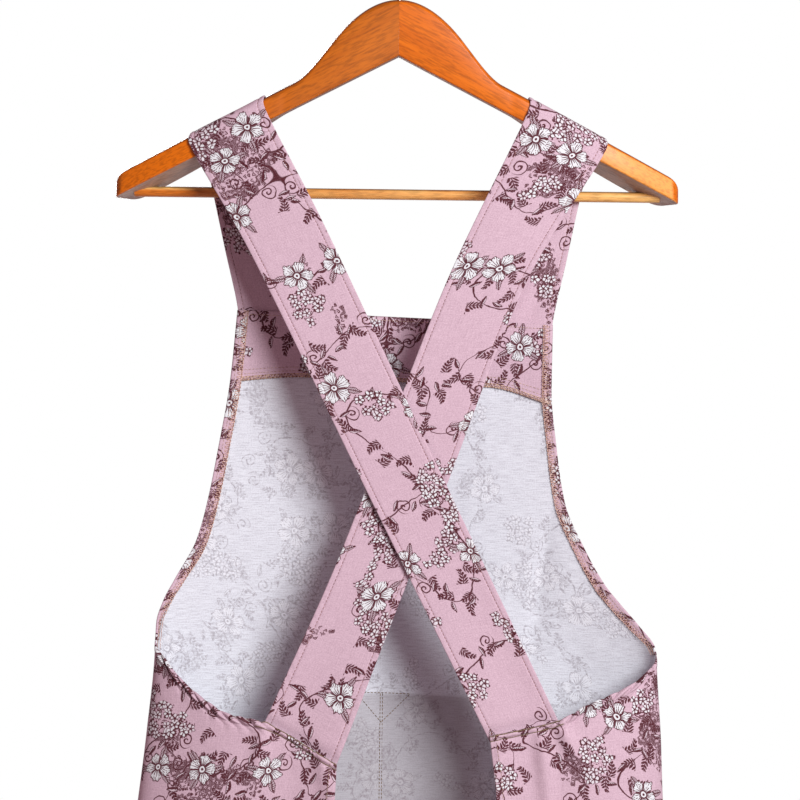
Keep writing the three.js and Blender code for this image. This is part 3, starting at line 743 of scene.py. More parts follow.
def cotton(name):
    """A cloth material with its print, its threads and its speckle. Two stretched noises are the slubs of
    warp and weft, which also raise the surface, and a fine noise is the speckle."""
    material, tree, shader = new_material(name, COTTON_FINISH)
    place = cloth_place(tree)
    design = tree.nodes.new("ShaderNodeGroup")
    design.node_tree = PRINTED_DESIGN
    feed(tree, design.inputs, [place])
    threads = []
    for scale in THREAD_SCALES:
        stretched = add_node(tree, "ShaderNodeMapping", Vector=place, Scale=scale)
        threads.append(noise(tree, stretched.outputs[0], size=1.0, detail=2.0))
    slubs = (threads[0] + threads[1]) * 0.5
    bump = add_node(tree, "ShaderNodeBump", Height=slubs.socket, Strength=WEAVE_BUMP, Distance=WEAVE_DEPTH)
    tree.links.new(bump.outputs["Normal"], shader.inputs["Normal"])
    flat = cloth_place(tree)
    return types.SimpleNamespace(
        material=material, tree=tree, colour=shader.inputs["Base Color"], place=flat,
        slubs=slubs, weft=threads[0],
        speckle=noise(tree, flat, SPECKLE_SIZE * MM, detail=1.0),
        burgundy=Field(tree, design.outputs["Burgundy"]), white=Field(tree, design.outputs["White"]),
    )


PRINTED_DESIGN = printed_design()

# The printed face
cloth = cotton("printed_cotton")
PRINTED_COTTON = cloth.material
grain = (cloth.slubs - NOISE_MIDDLE) * PINK_SLUBS + (cloth.speckle - NOISE_MIDDLE) * PINK_SPECKLE + 0.5
ground = mixed(cloth.tree, grain.socket, PINK_DEEP, PINK_PALE)
whitened = mixed(cloth.tree, cloth.white.socket, ground, WHITE_INK)
worn = cloth.burgundy * ((cloth.slubs - NOISE_MIDDLE) * BURGUNDY_WEAR + BURGUNDY_SHARE)
cloth.tree.links.new(mixed(cloth.tree, worn.socket, whitened, BURGUNDY), cloth.colour)

# The reverse, with the print showing through, painted darker where the pocket doubles the cloth
cloth = cotton("cotton_reverse")
COTTON_REVERSE = cloth.material
fluff = cloth.speckle - NOISE_MIDDLE
streak = (cloth.weft - NOISE_MIDDLE) * STREAK_WEFT + fluff * STREAK_FLUFF + STREAK_SHARE
streaked = mixed(cloth.tree, streak.held().socket, REVERSE_PALE, REVERSE_STREAK)
ghost_white = cloth.white * GHOST_WHITE_SHARE
paled = mixed(cloth.tree, ghost_white.socket, streaked, GHOST_WHITE)
blotch = noise(cloth.tree, cloth.place, GHOST_BLOTCH * MM, detail=2.0) - NOISE_MIDDLE
ghost = cloth.burgundy * (blotch * BLOTCH_CONTRAST + BLOTCH_SHARE).held() * GHOST_SHARE
shadowed = mixed(cloth.tree, ghost.socket, paled, GHOST)
# Painted shade: the inside is darker where the pocket's second cloth keeps the light out.
backed_shade = cloth.tree.nodes.new("ShaderNodeAttribute")
backed_shade.attribute_name = "backed_shade"
dimmed = Field(cloth.tree, backed_shade.outputs["Fac"]) * BACKED_SHADE_SHARE
cloth.tree.links.new(mixed(cloth.tree, dimmed.socket, shadowed, BACKED_SHADE), cloth.colour)
CLOTH_FACES = [PRINTED_COTTON, COTTON_REVERSE]

# Front panel
# The bib, waist and skirt are one cut of plain-weave cotton, printed on the outside only, so that the
# inside is white-grey with a ghost of the print. It hangs from the straps and falls into soft folds below
# the waist.
BIB_TOP_LEFT = -304.0
BIB_TOP_RIGHT = -313.0
HEM = -1060.0
ARMHOLE_FOOT = -578.0
SEAM_INSET = -0.2
CLOTH_HALF = 0.42  # half the thickness of the cotton
FRONT_ROWS = 216
FRONT_COLUMNS = 132
LINE_SAMPLES = 56
HEM_HEIGHT = 16.0
HEM_LAYERS = 0.45  # added on each side by the turned hem
HEM_BLEND = 1.5
FOLD_START = -420.0
FOLD_WAIST = -660.0
LEVELS = {
    "z": (-300, -570, -640, -695, -860, -1060),
    "left": (-187, -187.6, -193.3, -199.6, -222, -242),
    "right": (210.5, 210.5, 214.5, 217, 231, 246),
    "fold": (6, 6, 6, 6, 5, 4),
    "front": (40.5, 43, 45, 47, 52, 58),
    "back": (-20, -24, -28, -31, -38, -46),
    "square": (2.6, 2.5, 2.4, 2.4, 2.3, 2.2),
}
ARMHOLES = {
    "z": (-300, -365, -410, -458, -490, -522, -538, -554, -570, -578),
    "left": (-126.5, -132.5, -140, -149, -157.5, -174.5, -182.5, -187, -187.6, -188.2),
    "right": (126.5, 126, 130.5, 138.5, 152.5, 170.5, 183.5, 197.5, 209.5, 210.9),
}
FRONT_FOLDS = (  # across, width, at the waist, at the hem
    (-0.64, 0.17, 3, 15),
    (-0.36, 0.13, -6, -13),
    (-0.03, 0.16, 2, 13),
    (0.3, 0.14, -3, -12),
    (0.64, 0.17, 4, 16),
)
BACK_FOLDS = (
    (-0.68, 0.16, 3, 14),
    (-0.42, 0.1, -3, -10),
    (0.5, 0.1, -3, -9),
    (0.72, 0.14, 3, 14),
)
POCKET_TOP = -613.0  # the cloth is double below, down to the pocket's foot
POCKET_SHADE, SHADE_FADE = 80.0, 25.0  # how far to the sides the double cloth is painted darker
FRONT_CREASES = (  # x, lean, width, height, and z where it starts, is full and ends
    (-7.0, 0.0, 24.0, 4.0, -560.0, -605.0, -1060.0),
    (124.0, 0.127, 8.0, 3.8, -435.0, -500.0, -720.0),
)
CLOTH_WAVES = ((150.0, 0.9), (70.0, 0.45), (33.0, 0.16), (15.0, 0.05))  # length and height of slow wrinkles
WAVES_EACH = 3
FRONT_SEED = 11
BELLY = 14.0  # how far the bib sags towards the front
BELLY_TOP, BELLY_FOOT = -368.0, -640.0
HOLLOW = 8.0  # how far the cloth hangs back below the crossing of the straps
HOLLOW_X, HOLLOW_REACH = 26.0, 44.0
HOLLOW_TOP, HOLLOW_FOOT = -480.0, -900.0
SPINDLE = ((-0.36, 0.8), (0.0, 1.0), (0.36, 0.8))  # places along a stitch and its fullness there
SPINDLE_SIDES = 5
SPINDLE_FLATNESS = 0.7
STITCH_PITCH, STITCH_LENGTH, STITCH_WIDTH = 3.0, 2.3, 0.55
STITCH_RAISE = 0.08
THREAD_FINISH = {"Roughness": 0.75}
THREAD_TWIST, TWIST_RANGE = {"Scale": 900.0, "Detail": 2.0}, (0.4, 0.6)


def read(places, values, at):
    """A table's column at each place: a cubic through the rows that never overshoots them. The slope at a
    row is the harmonic mean of the slopes on both sides, or level where they turn round."""
    order = 1 if places[0] < places[-1] else -1
    places = np.asarray(places, float)[::order]
    values = np.asarray(values, float)[::order]
    steps = np.diff(places)
    secants = np.diff(values) / steps
    before, after = secants[:-1], secants[1:]
    rising = before * after > 0
    inner = np.where(rising, 2 * before * after / np.where(rising, before + after, 1.0), 0.0)
    slopes = np.concatenate([secants[:1], inner, secants[-1:]])
    at = np.clip(at, places[0], places[-1])
    k = np.clip(np.searchsorted(places, at) - 1, 0, len(steps) - 1)
    share = (at - places[k]) / steps[k]
    return eased(values[k], values[k + 1], steps[k] * slopes[k], steps[k] * slopes[k + 1], share)


def level(name, z):
    """A column of the body's table at height z."""
    return read(LEVELS["z"], LEVELS[name], z)


def bell(distance, width):
    """A bell curve: the exponential of minus the distance over the width, squared."""
    return np.exp(-((distance / width) ** 2))


def grown(value, start, end):
    """How far a value has gone from start to end, as a share held between 0 and 1."""
    return np.clip((value - start) / (end - start), 0, 1)


def across_body(x, z):
    """Where x lies at height z, from -1 at the left side fold to 1 at the right one."""
    left, right = level("left", z), level("right", z)
    return (2 * x - left - right) / (right - left)


def fold_size(folds, across, z):
    """How far the folds push the cloth out: a bell across each fold, growing from the chest to the hem."""
    return sum(
        read((FOLD_START, FOLD_WAIST, HEM), (0, waist, hem), z) * bell(across - place, width)
        for place, width, waist, hem in folds
    )


def body_y(half, x, z):
    """The y of the body at x and z: a rounded, flattened tube (a superellipse) whose front half and back
    half bulge apart from the side folds, with the soft folds fading out towards the sides."""
    across = np.clip(across_body(x, z), -1, 1)
    square = level("square", z)
    bulge = (1 - np.abs(across) ** square) ** (1 / square)
    folds = fold_size(FRONT_FOLDS, across, z) if half == "front" else -fold_size(BACK_FOLDS, across, z)
    return level("fold", z) + (level(half, z) - level("fold", z) + folds) * bulge


def on_body(half, start, end, z, share, offset=0.0):
    """Points of the body's line at height z from x start to x end, placed by a share of the cloth's length
    along it plus an offset in millimetres, with that length. The line is sampled at even angles of its
    section."""
    start, end, z, share, offset = np.broadcast_arrays(start, end, z, share, offset)
    level_z = z[..., None]
    left, right = level("left", level_z), level("right", level_z)
    turn = [np.arccos(np.clip(across_body(x[..., None], level_z), -1, 1)) for x in (start, end)]
    angle = mix(turn[0], turn[1], np.linspace(0, 1, LINE_SAMPLES))
    x = (left + right) / 2 + (right - left) / 2 * np.cos(angle)
    steps = np.hypot(np.diff(x), np.diff(body_y(half, x, level_z)))
    run = np.concatenate([np.zeros_like(x[..., :1]), np.cumsum(steps, axis=-1)], axis=-1)
    wanted = share * run[..., -1] + offset
    k = np.clip((run < wanted[..., None]).sum(axis=-1) - 1, 0, LINE_SAMPLES - 2)[..., None]
    run_k, run_next, x_k, x_next = (
        np.take_along_axis(line, at, -1)[..., 0] for line in (run, x) for at in (k, k + 1)
    )
    x = mix(x_k, x_next, (wanted - run_k) / (run_next - run_k))
    return np.stack([x, body_y(half, x, z), z], axis=-1), wanted


def front_edges(z):
    """The x of the front panel's left and right edges: the armholes above their foot, else the side
    folds."""
    left, right = level("left", z), level("right", z)
    is_open = z > ARMHOLE_FOOT
    hole_left = np.maximum(left, read(ARMHOLES["z"], ARMHOLES["left"], z))
    hole_right = np.minimum(right, read(ARMHOLES["z"], ARMHOLES["right"], z))
    return np.where(is_open, hole_left, left), np.where(is_open, hole_right, right)


def front_height(across, down):
    """The z at shares across the front panel and down from the top of the bib."""
    return mix(mix(BIB_TOP_LEFT, BIB_TOP_RIGHT, across), HEM, down)


def front_points(across, down):
    """Points of the front panel at shares across from its left edge and down from the top of the bib, and
    their distances along the cloth from the panel's middle."""
    z = front_height(across, down)
    left, right = front_edges(z)
    points, run = on_body("front", left, right, z, across, SEAM_INSET * (1 - 2 * across))
    _, middle = on_body("front", left, right, z, 0.5)
    return points, run - middle


def wrinkles(u, v, seed):
    """Slow wrinkles that the cloth keeps from being folded: a few sine waves of random heading and
    phase."""
    draw = np.random.default_rng(seed)
    total = np.zeros_like(u)
    for length, height in CLOTH_WAVES:
        for heading, phase in draw.uniform(0, 2 * np.pi, (WAVES_EACH, 2)):
            along = u * np.cos(heading) + v * np.sin(heading)
            total += height / WAVES_EACH * np.sin(2 * np.pi * along / length + phase)
    return total


def front_shift(u, x, z):
    """How far the front panel stands out from the smooth body: its wrinkles, a belly of half a sine wave
    down the bib and a parabola across it, a hollow of half a sine wave down and a bell curve across, and
    pressed creases that fall off on both sides by an exponential."""
    sag = np.sin(np.pi * grown(z, BELLY_TOP, BELLY_FOOT))
    shift = wrinkles(u, z, FRONT_SEED) + BELLY * sag * (1 - across_body(x, z) ** 2)
    hang = np.sin(np.pi * grown(z, HOLLOW_TOP, HOLLOW_FOOT))
    shift = shift + HOLLOW * hang * bell(x - HOLLOW_X, HOLLOW_REACH)
    for place, lean, width, height, start, full, end in FRONT_CREASES:
        depth = np.interp(-z, (-start, -full, -end), (0.0, 1.0, 0.0 if end > HEM else 1.0))
        shift = shift + height * depth * np.exp(-np.abs(x - place - lean * (z - full)) / width)
    return shift


def on_front(across, down):
    """Points of the front panel with all that it stands out by, and their places on the flat cloth."""
    grid, u = front_points(across, down)
    x, z = grid[..., 0], grid[..., 2]
    grid[..., 1] += front_shift(u, x, z)
    return grid, np.stack([u, z], axis=-1)


def facing_out(grid):
    """Unit normals of a grid of points: the way down the rows crossed with the way along the columns."""
    return unit(np.cross(np.gradient(grid, axis=0), np.gradient(grid, axis=1)))


def cloth_piece(name, grid, out, back, uv, materials, back_uv=None):
    """A closed wall of cloth about a grid of points: the outer face stands out along the normals, the
    inner face stands back, and a rim joins them. The UV map holds the flat cloth's own places in
    metres."""
    normal = facing_out(grid)
    rows, columns = grid.shape[:2]
    outer = grid + normal * np.broadcast_to(out, (rows, columns))[..., None]
    inner = grid - normal * np.broadcast_to(back, (rows, columns))[..., None]
    count = rows * columns
    index = np.arange(count).reshape(rows, columns)
    corners = index[:-1, :-1], index[1:, :-1], index[1:, 1:], index[:-1, 1:]
    outer_faces = np.stack(corners, axis=-1).reshape(-1, 4)
    inner_faces = outer_faces[:, ::-1] + count
    loop = np.concatenate([index[0, :-1], index[:-1, -1], index[-1, :0:-1], index[:0:-1, 0]])
    ahead = np.roll(loop, -1)
    rim_faces = np.stack([loop, ahead, ahead + count, loop + count], axis=-1)
    faces = np.concatenate([outer_faces, inner_faces, rim_faces])
    piece = new_piece(name, np.stack([outer, inner]), faces.tolist(), materials)
    places = np.concatenate([uv.reshape(-1, 2), (uv if back_uv is None else back_uv).reshape(-1, 2)]) * MM
    cloth_map = piece.data.uv_layers.new(name="cloth")
    cloth_map.data.foreach_set("uv", places[faces.reshape(-1)].astype(np.float32).reshape(-1))
    if len(materials) > 1:
        side = np.zeros(len(faces), np.int32)
        side[len(outer_faces):len(outer_faces) + len(inner_faces)] = 1
        piece.data.polygons.foreach_set("material_index", side)
    return piece, outer, inner, normal


def run_along(path):
    """The distance along a path at each of its points."""
    return np.concatenate([[0.0], np.cumsum(np.linalg.norm(np.diff(path, axis=0), axis=-1))])


def stitch_row(path, up, pitch, length, width, lean=0.0):
    """Stitches along a path: spindles of five sides whose middles lie a pitch apart, each leaning from the
    path's heading by an angle, to the left and right in turn. Returns points by stitch."""
    run = run_along(path)
    at = np.arange(pitch / 2, run[-1], pitch)
    middle, lift = (
        np.stack([np.interp(at, run, line[:, k]) for k in range(3)], axis=-1) for line in (path, up)
    )
    heading = unit(np.gradient(middle, axis=0))
    side = np.cross(lift, heading)
    leans = (lean * (-1.0) ** np.arange(len(at)))[:, None]
    along = heading * np.cos(leans) + side * np.sin(leans)
    beside = np.cross(lift, along)
    turn = full_turn(SPINDLE_SIDES)[:, None]
    round_way = np.cos(turn) * beside[:, None] + SPINDLE_FLATNESS * np.sin(turn) * lift[:, None]
    rings = [
        (middle + along * place * length)[:, None] + round_way * fullness * width / 2
        for place, fullness in SPINDLE
    ]
    ends = [(middle + along * place * length)[:, None] for place in (-0.5, 0.5)]
    return np.concatenate([ends[0], *rings, ends[1]], axis=1)


def thread_piece(name, rows, material):
    """One mesh of all the stitches in the rows. A stitch has a pole at each end and three rings
    between."""
    points = np.concatenate(rows)
    count = points.shape[1]
    first = 1 + np.arange(SPINDLE_SIDES)
    ahead = np.roll(first, -1)
    last = first + (len(SPINDLE) - 1) * SPINDLE_SIDES
    tips = np.concatenate([
        np.stack([np.zeros_like(first), ahead, first], axis=-1),
        np.stack([np.full_like(first, count - 1), last, np.roll(last, -1)], axis=-1),
    ])
    bands = np.concatenate([
        np.stack([first, ahead, ahead + SPINDLE_SIDES, first + SPINDLE_SIDES], axis=-1) + k * SPINDLE_SIDES
        for k in range(len(SPINDLE) - 1)
    ])
    starts = (np.arange(len(points)) * count)[:, None, None]
    faces = (tips + starts).reshape(-1, 3).tolist() + (bands + starts).reshape(-1, 4).tolist()
    return new_piece(name, points, faces, [material])


def sewing_thread(name, pale, deep):
    """Spun cotton thread: a fine noise breaks its colour up as the twist of its plies does."""
    material, tree, shader = new_material(name, THREAD_FINISH)
    place = add_node(tree, "ShaderNodeTexCoord").outputs["Object"]
    twist = add_node(tree, "ShaderNodeTexNoise", Vector=place, **THREAD_TWIST)
    tone = mixed(tree, ramp(tree, twist.outputs[0], *TWIST_RANGE), deep, pale)
    tree.links.new(tone, shader.inputs["Base Color"])
    return material


ROSE_THREAD = sewing_thread("rose_thread", (0.36, 0.18, 0.16, 1.0), (0.16, 0.06, 0.06, 1.0))
TAN_THREAD = sewing_thread("tan_thread", (0.58, 0.42, 0.34, 1.0), (0.3, 0.19, 0.14, 1.0))
COPPER_THREAD = sewing_thread("copper_thread", (0.64, 0.46, 0.34, 1.0), (0.15, 0.06, 0.05, 1.0))
BROWN_THREAD = sewing_thread("brown_thread", (0.24, 0.17, 0.09, 1.0), (0.09, 0.055, 0.03, 1.0))
PEACH_THREAD = sewing_thread("peach_thread", (0.82, 0.58, 0.48, 1.0), (0.34, 0.17, 0.13, 1.0))


def stitching(name, lines, thread=TAN_THREAD, width=STITCH_WIDTH):
    """Plain running stitches along lines with their ways up, raised a little from the cloth."""
    return thread_piece(name, [
        stitch_row(path + up * STITCH_RAISE, up, STITCH_PITCH, STITCH_LENGTH, width) for path, up in lines
    ], thread)


def both_faces(outer, inner, normal, at):
    """The lines at a row or a column on both faces of a cloth, with the ways up from them."""
    return [(outer[at], normal[at]), (inner[at], -normal[at])]


def turned_hem(z):
    """What the hem turned up at the foot of the skirt adds to each side of the cloth."""
    return HEM_LAYERS * grown(z, HEM + HEM_HEIGHT, HEM + HEM_HEIGHT - HEM_BLEND)


front_down = np.linspace(0, 1, FRONT_ROWS)[:, None]
front_across = np.linspace(1, 0, FRONT_COLUMNS)[None, :]
front_grid, front_uv = on_front(front_across, front_down)
front_half = CLOTH_HALF + turned_hem(front_grid[..., 2])
front, front_outer, front_inner, front_normal = cloth_piece(
    "front_cloth", front_grid, front_half, front_half, front_uv, CLOTH_FACES
)
# Painted shade on the inside below the pocket's top, fading out to the sides.
front_backed_shade = grown(front_inner[..., 2], POCKET_TOP, POCKET_TOP - HEM_BLEND)
front_backed_shade *= grown(np.abs(front_inner[..., 0]), POCKET_SHADE, POCKET_SHADE - SHADE_FADE)
backed_shade = front.data.attributes.new("backed_shade", "FLOAT", "POINT")
backed_shade.data.foreach_set("value", np.tile(front_backed_shade.reshape(-1), 2).astype(np.float32))
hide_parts("front_panel")
hem_row = int(round((FRONT_ROWS - 1) * (1 - HEM_HEIGHT / (BIB_TOP_LEFT - HEM)))) + 1
front_lines = both_faces(front_outer, front_inner, front_normal, hem_row)
front_stitching = stitching("front_hem_stitching", front_lines)

# Bib facing
# A strip of the same print backs the top of the bib on the inside. The strap ends are sewn into its top
# seam, and its lower edge is overlocked and held down by two rows of stitching.
FACING_HEIGHTS = ((0.0, 57.5), (0.23, 51.6), (0.81, 53.0), (1.0, 65.0))  # share across, height of the strip
FACING_FROM, FACING_TO = 0.004, 0.996  # shares across the bib
FACING_STEP = 3.4  # how far it stands behind the bib where the strap ends lie between
FACING_FOOT_STEP = 1.35
FACING_SEAM = 0.34
FACING_CLOSE = 2.0  # height over which it closes onto the bib between the straps
FACING_OPEN_X, OPEN_BLEND = 58.0, 10.0  # the strap ends start this far from the middle
FACING_WRINKLE = 0.6  # share of the bib's wrinkles
FACING_ROWS = 34
FACING_COLUMNS = 96
FACING_SHIFT = (310.0, 175.0)  # where the strip was cut from the print
FACING_STITCHES = (0.07, 0.84, 0.91)  # shares down the strip
OVERLOCK_PITCH, OVERLOCK_WIDTH = 1.3, 0.85
OVERLOCK_LOOPS = ((1.3, 3.6, 1.2), (0.0, 2.2, 0.35), (2.7, 2.2, 0.3))  # lift from the edge, length, lean
OVERLOCK_BACK = (0.0, -0.1, 0.0)


def facing_stand(down):
    """How far the facing stands behind the bib at a share down the strip: level to its seam, then closing
    in."""
    return mix(FACING_STEP, FACING_FOOT_STEP, grown(down, FACING_SEAM, 1))


def overlock(name, path, up, way, loops, pitch, width, thread):
    """An overlocked edge: rows of leaning loops along a path, each lifted from it along a way."""
    return thread_piece(name, [
        stitch_row(path + OVERLOCK_BACK + np.multiply(way, lift), up, pitch, length, width, lean)
        for lift, length, lean in loops
    ], thread)


facing_down = np.linspace(0, 1, FACING_ROWS)[:, None]
facing_across = np.linspace(0, 1, FACING_COLUMNS)[None, :]
facing_height = read(*zip(*FACING_HEIGHTS), facing_across)
facing_depth = facing_height / (BIB_TOP_LEFT - HEM)
facing_grid, facing_u = front_points(mix(FACING_FROM, FACING_TO, facing_across), facing_down * facing_depth)
facing_uv = np.stack([facing_u, facing_grid[..., 2]], axis=-1) + FACING_SHIFT
between_straps = grown(np.abs(facing_grid[..., 0]), FACING_OPEN_X, FACING_OPEN_X - OPEN_BLEND)
closing = between_straps * grown(facing_down * facing_height, FACING_CLOSE, 0)
facing_grid[..., 1] -= mix(facing_stand(facing_down), FACING_FOOT_STEP, closing)
facing_grid[..., 1] += FACING_WRINKLE * wrinkles(facing_u, facing_grid[..., 2], FRONT_SEED)
facing, facing_outer, _, facing_normal = cloth_piece(
    "facing_cloth", facing_grid, CLOTH_HALF, CLOTH_HALF, facing_uv, CLOTH_FACES
)
facing_rows = [int(round(share * (FACING_ROWS - 1))) for share in FACING_STITCHES]
facing_stitching = stitching("facing_stitching", [(facing_outer[r], facing_normal[r]) for r in facing_rows])
facing_overlock = overlock(
    "facing_overlock", facing_outer[-1], facing_normal[-1], (0.0, 0.0, 1.0), OVERLOCK_LOOPS, OVERLOCK_PITCH,
    OVERLOCK_WIDTH, COPPER_THREAD,
)
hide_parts("bib_facing")

# Armhole hems
# The armhole edges of the front panel are turned once to the inside and overlocked, so a narrow band of
# print with a peach thread edge shows there. The band catches the ends of the bib facing.
HEM_WIDTH = 8.0
HEM_PROFILE = (  # distance in from the edge, share of the way from the outside to the inside
    (0.5, 0.0),
    (-0.25, 0.12),
    (-0.5, 0.5),
    (-0.25, 0.88),
    (0.6, 1.0),
    (2.4, 1.0),
    (4.2, 1.0),
    (6.0, 1.0),
    (7.2, 0.97),
    (HEM_WIDTH, 0.86),
)
HEM_OUTSIDE = -0.62
HEM_INSIDE = 1.0
HEM_CLOTH_HALF = 0.22
HEM_STEP_LENGTH = 2.0
HEM_TOP_GAP, HEM_FOOT_GAP = 0.4, 1.0
HEM_PUCKER, PUCKER_PITCH = 0.22, 9.0
HEM_OVER_FACING = (1.14, 1.04)  # shares down the facing between which the band comes off it
HEM_SHIFT = {"left": (73.5, 644.0), "right": (407.5, 893.0)}
HEM_STITCH_COLUMN = 5
HEM_LOOP_COLUMN = 7
HEM_LOOPS = ((0.0, 4.4, 1.35), (2.0, 2.2, 0.4))  # lift to the inside, length, lean
HEM_LOOP_PITCH, HEM_LOOP_WIDTH = 1.6, 0.75
HEM_NARROW = {  # height, share of the width
    "left": ((ARMHOLE_FOOT, 0.42), (-552.0, 0.6), (-505.0, 1.0)),
    "right": ((ARMHOLE_FOOT, 0.5), (-567.0, 0.8), (-545.0, 1.0), (-480.0, 0.95), (-410.0, 0.78)),
}

hems = []
profile_in, profile_through = np.transpose(HEM_PROFILE)[:, None]
over_profile = np.linspace(0, 1, len(HEM_PROFILE))
for hem_side, hem_share, inward, hem_top in (
    ("left", 0.0, 1, BIB_TOP_LEFT), ("right", 1.0, -1, BIB_TOP_RIGHT)
):
    hem_z = np.arange(hem_top - HEM_TOP_GAP, ARMHOLE_FOOT + HEM_FOOT_GAP, -HEM_STEP_LENGTH)[:, None]
    left, right = front_edges(hem_z)
    edge_slope = np.gradient(left if inward > 0 else right, axis=0) / -HEM_STEP_LENGTH
    narrow = np.interp(hem_z, *zip(*HEM_NARROW[hem_side]))
    distance = profile_in * np.sqrt(1 + edge_slope ** 2) * narrow
    base, hem_run = on_body("front", left, right, hem_z, hem_share, inward * distance)
    _, middle = on_body("front", left, right, hem_z, 0.5)
    base[..., 1] += front_shift(hem_run - middle, base[..., 0], base[..., 2])
    even = inward * mix(1.0, HEM_WIDTH, over_profile)
    flat_base, _ = on_body("front", left, right, hem_z, hem_share, even)
    hem_in = facing_out(flat_base) * inward
    facing_share = (hem_top - hem_z) / FACING_HEIGHTS[-int(hem_share)][1]
    hem_depth = HEM_INSIDE + facing_stand(facing_share) * grown(facing_share, *HEM_OVER_FACING)
    hem_depth = hem_depth + HEM_PUCKER * np.sin(2 * np.pi * hem_z / PUCKER_PITCH) * over_profile
    step = mix(HEM_OUTSIDE, hem_depth, profile_through)
    hem_grid = base + hem_in * step[..., None]
    hem_uv = np.stack(np.broadcast_arrays(-inward * distance, hem_z), axis=-1) + HEM_SHIFT[hem_side]
    hem, hem_outer, _, hem_normal = cloth_piece(
        f"armhole_hem_{hem_side}", hem_grid[:, ::inward], HEM_CLOTH_HALF, HEM_CLOTH_HALF,
        hem_uv[:, ::inward], [PRINTED_COTTON],
    )
    stitched, looped = (
        (hem_outer[:, ::inward][:, c], hem_normal[:, ::inward][:, c])
        for c in (HEM_STITCH_COLUMN, HEM_LOOP_COLUMN)
    )
    outward = -hem_in[:, HEM_STITCH_COLUMN]
    outside = base[:, HEM_STITCH_COLUMN] + outward * CLOTH_HALF
    hem_stitching = stitching(f"armhole_stitching_{hem_side}", [stitched, (outside, outward)])
    hem_overlock = overlock(
        f"armhole_overlock_{hem_side}", *looped, (inward, 0.0, 0.0), HEM_LOOPS, HEM_LOOP_PITCH,
        HEM_LOOP_WIDTH, PEACH_THREAD,
    )
    hems += [hem, hem_stitching, hem_overlock]

# Front pocket
# A wide pocket lies on the outside of the skirt, sewn at its sides, its foot and down its middle. Its top
# edge is hemmed and gapes a little between the seams.
POCKET_TOP_SHARE = 0.403
POCKET_FOOT_SHARE = 0.67
POCKET_FROM = 1 / 26  # shares across from the panel's left edge
POCKET_TO = 23 / 26
POCKET_STEP = 1.5
POCKET_GAPE = 2.2
POCKET_ROWS = 64
POCKET_COLUMNS = 116
POCKET_SHIFT = (-140.0, 260.0)
POCKET_HEM = 22.0
POCKET_SEAM_COLUMNS = (1, 2, -3, -2, POCKET_COLUMNS // 2 - 1, POCKET_COLUMNS // 2)
POCKET_SEAM_ROWS = (7, -2)  # of the hem and of the foot
SEAM_BAR = ((-28.4, -612.8), (15.4, -614.2))  # the reinforced top of the middle seam, left and right
SEAM_APEX = (-7.8, -637.2)
SEAM_THREAD = 0.75
SEAM_PAIR = 1.9  # between the two rows of the middle seam
SEAM_SAMPLES = 60

pocket_down = np.linspace(POCKET_TOP_SHARE, POCKET_FOOT_SHARE, POCKET_ROWS)[:, None]
pocket_across = np.linspace(POCKET_TO, POCKET_FROM, POCKET_COLUMNS)[None, :]
pocket_grid, pocket_uv = on_front(pocket_across, pocket_down)
pouch = np.sin(2 * np.pi * np.linspace(0, 1, POCKET_COLUMNS)) ** 2 * np.linspace(1, 0, POCKET_ROWS)[:, None]
pocket_grid += facing_out(pocket_grid) * (POCKET_STEP + POCKET_GAPE * pouch)[..., None]
hem_foot = front_height(pocket_across, POCKET_TOP_SHARE) - POCKET_HEM
pocket_hem = HEM_LAYERS * grown(pocket_grid[..., 2], hem_foot, hem_foot + HEM_BLEND)
pocket, pocket_outer, _, pocket_normal = cloth_piece(
    "pocket_cloth", pocket_grid, CLOTH_HALF + pocket_hem, CLOTH_HALF, pocket_uv + POCKET_SHIFT,
    CLOTH_FACES,
)
pocket_lines = [(pocket_outer[:, c], pocket_normal[:, c]) for c in POCKET_SEAM_COLUMNS]
pocket_lines += [(pocket_outer[r], pocket_normal[r]) for r in POCKET_SEAM_ROWS]


def on_inside(start, end):
    """A line on the inner face of the front panel from one place to another, each an x and a z near the
    middle, where the cloth is flat enough that the distance along it is the distance in x."""
    x, z = np.linspace(start, end, SEAM_SAMPLES).T
    left, right = front_edges(z)
    middle, _ = on_body("front", left, right, z, 0.5)
    y = body_y("front", x, z) + front_shift(x - middle[..., 0], x, z) - CLOTH_HALF
    return np.stack([x, y, z], axis=-1)


bar_left, bar_right = SEAM_BAR
bar_z = (bar_left[1] + bar_right[1]) / 2
seam_foot_z = mix(BIB_TOP_LEFT, HEM, POCKET_FOOT_SHARE)
seam_ends = [(bar_left, bar_right), (bar_left, SEAM_APEX), (bar_right, SEAM_APEX)]
for seam_x in (SEAM_APEX[0] - SEAM_PAIR / 2, SEAM_APEX[0] + SEAM_PAIR / 2):
    seam_ends.append(((seam_x, bar_z), (seam_x, seam_foot_z)))
toward_back = np.broadcast_to((0.0, -1.0, 0.0), (SEAM_SAMPLES, 3))
seam_lines = [(on_inside(*ends), toward_back) for ends in seam_ends]
pocket_stitching = stitching("pocket_stitching", pocket_lines)
pocket_seam = stitching("pocket_seam_inside", seam_lines, BROWN_THREAD, SEAM_THREAD)
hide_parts("front_pocket")

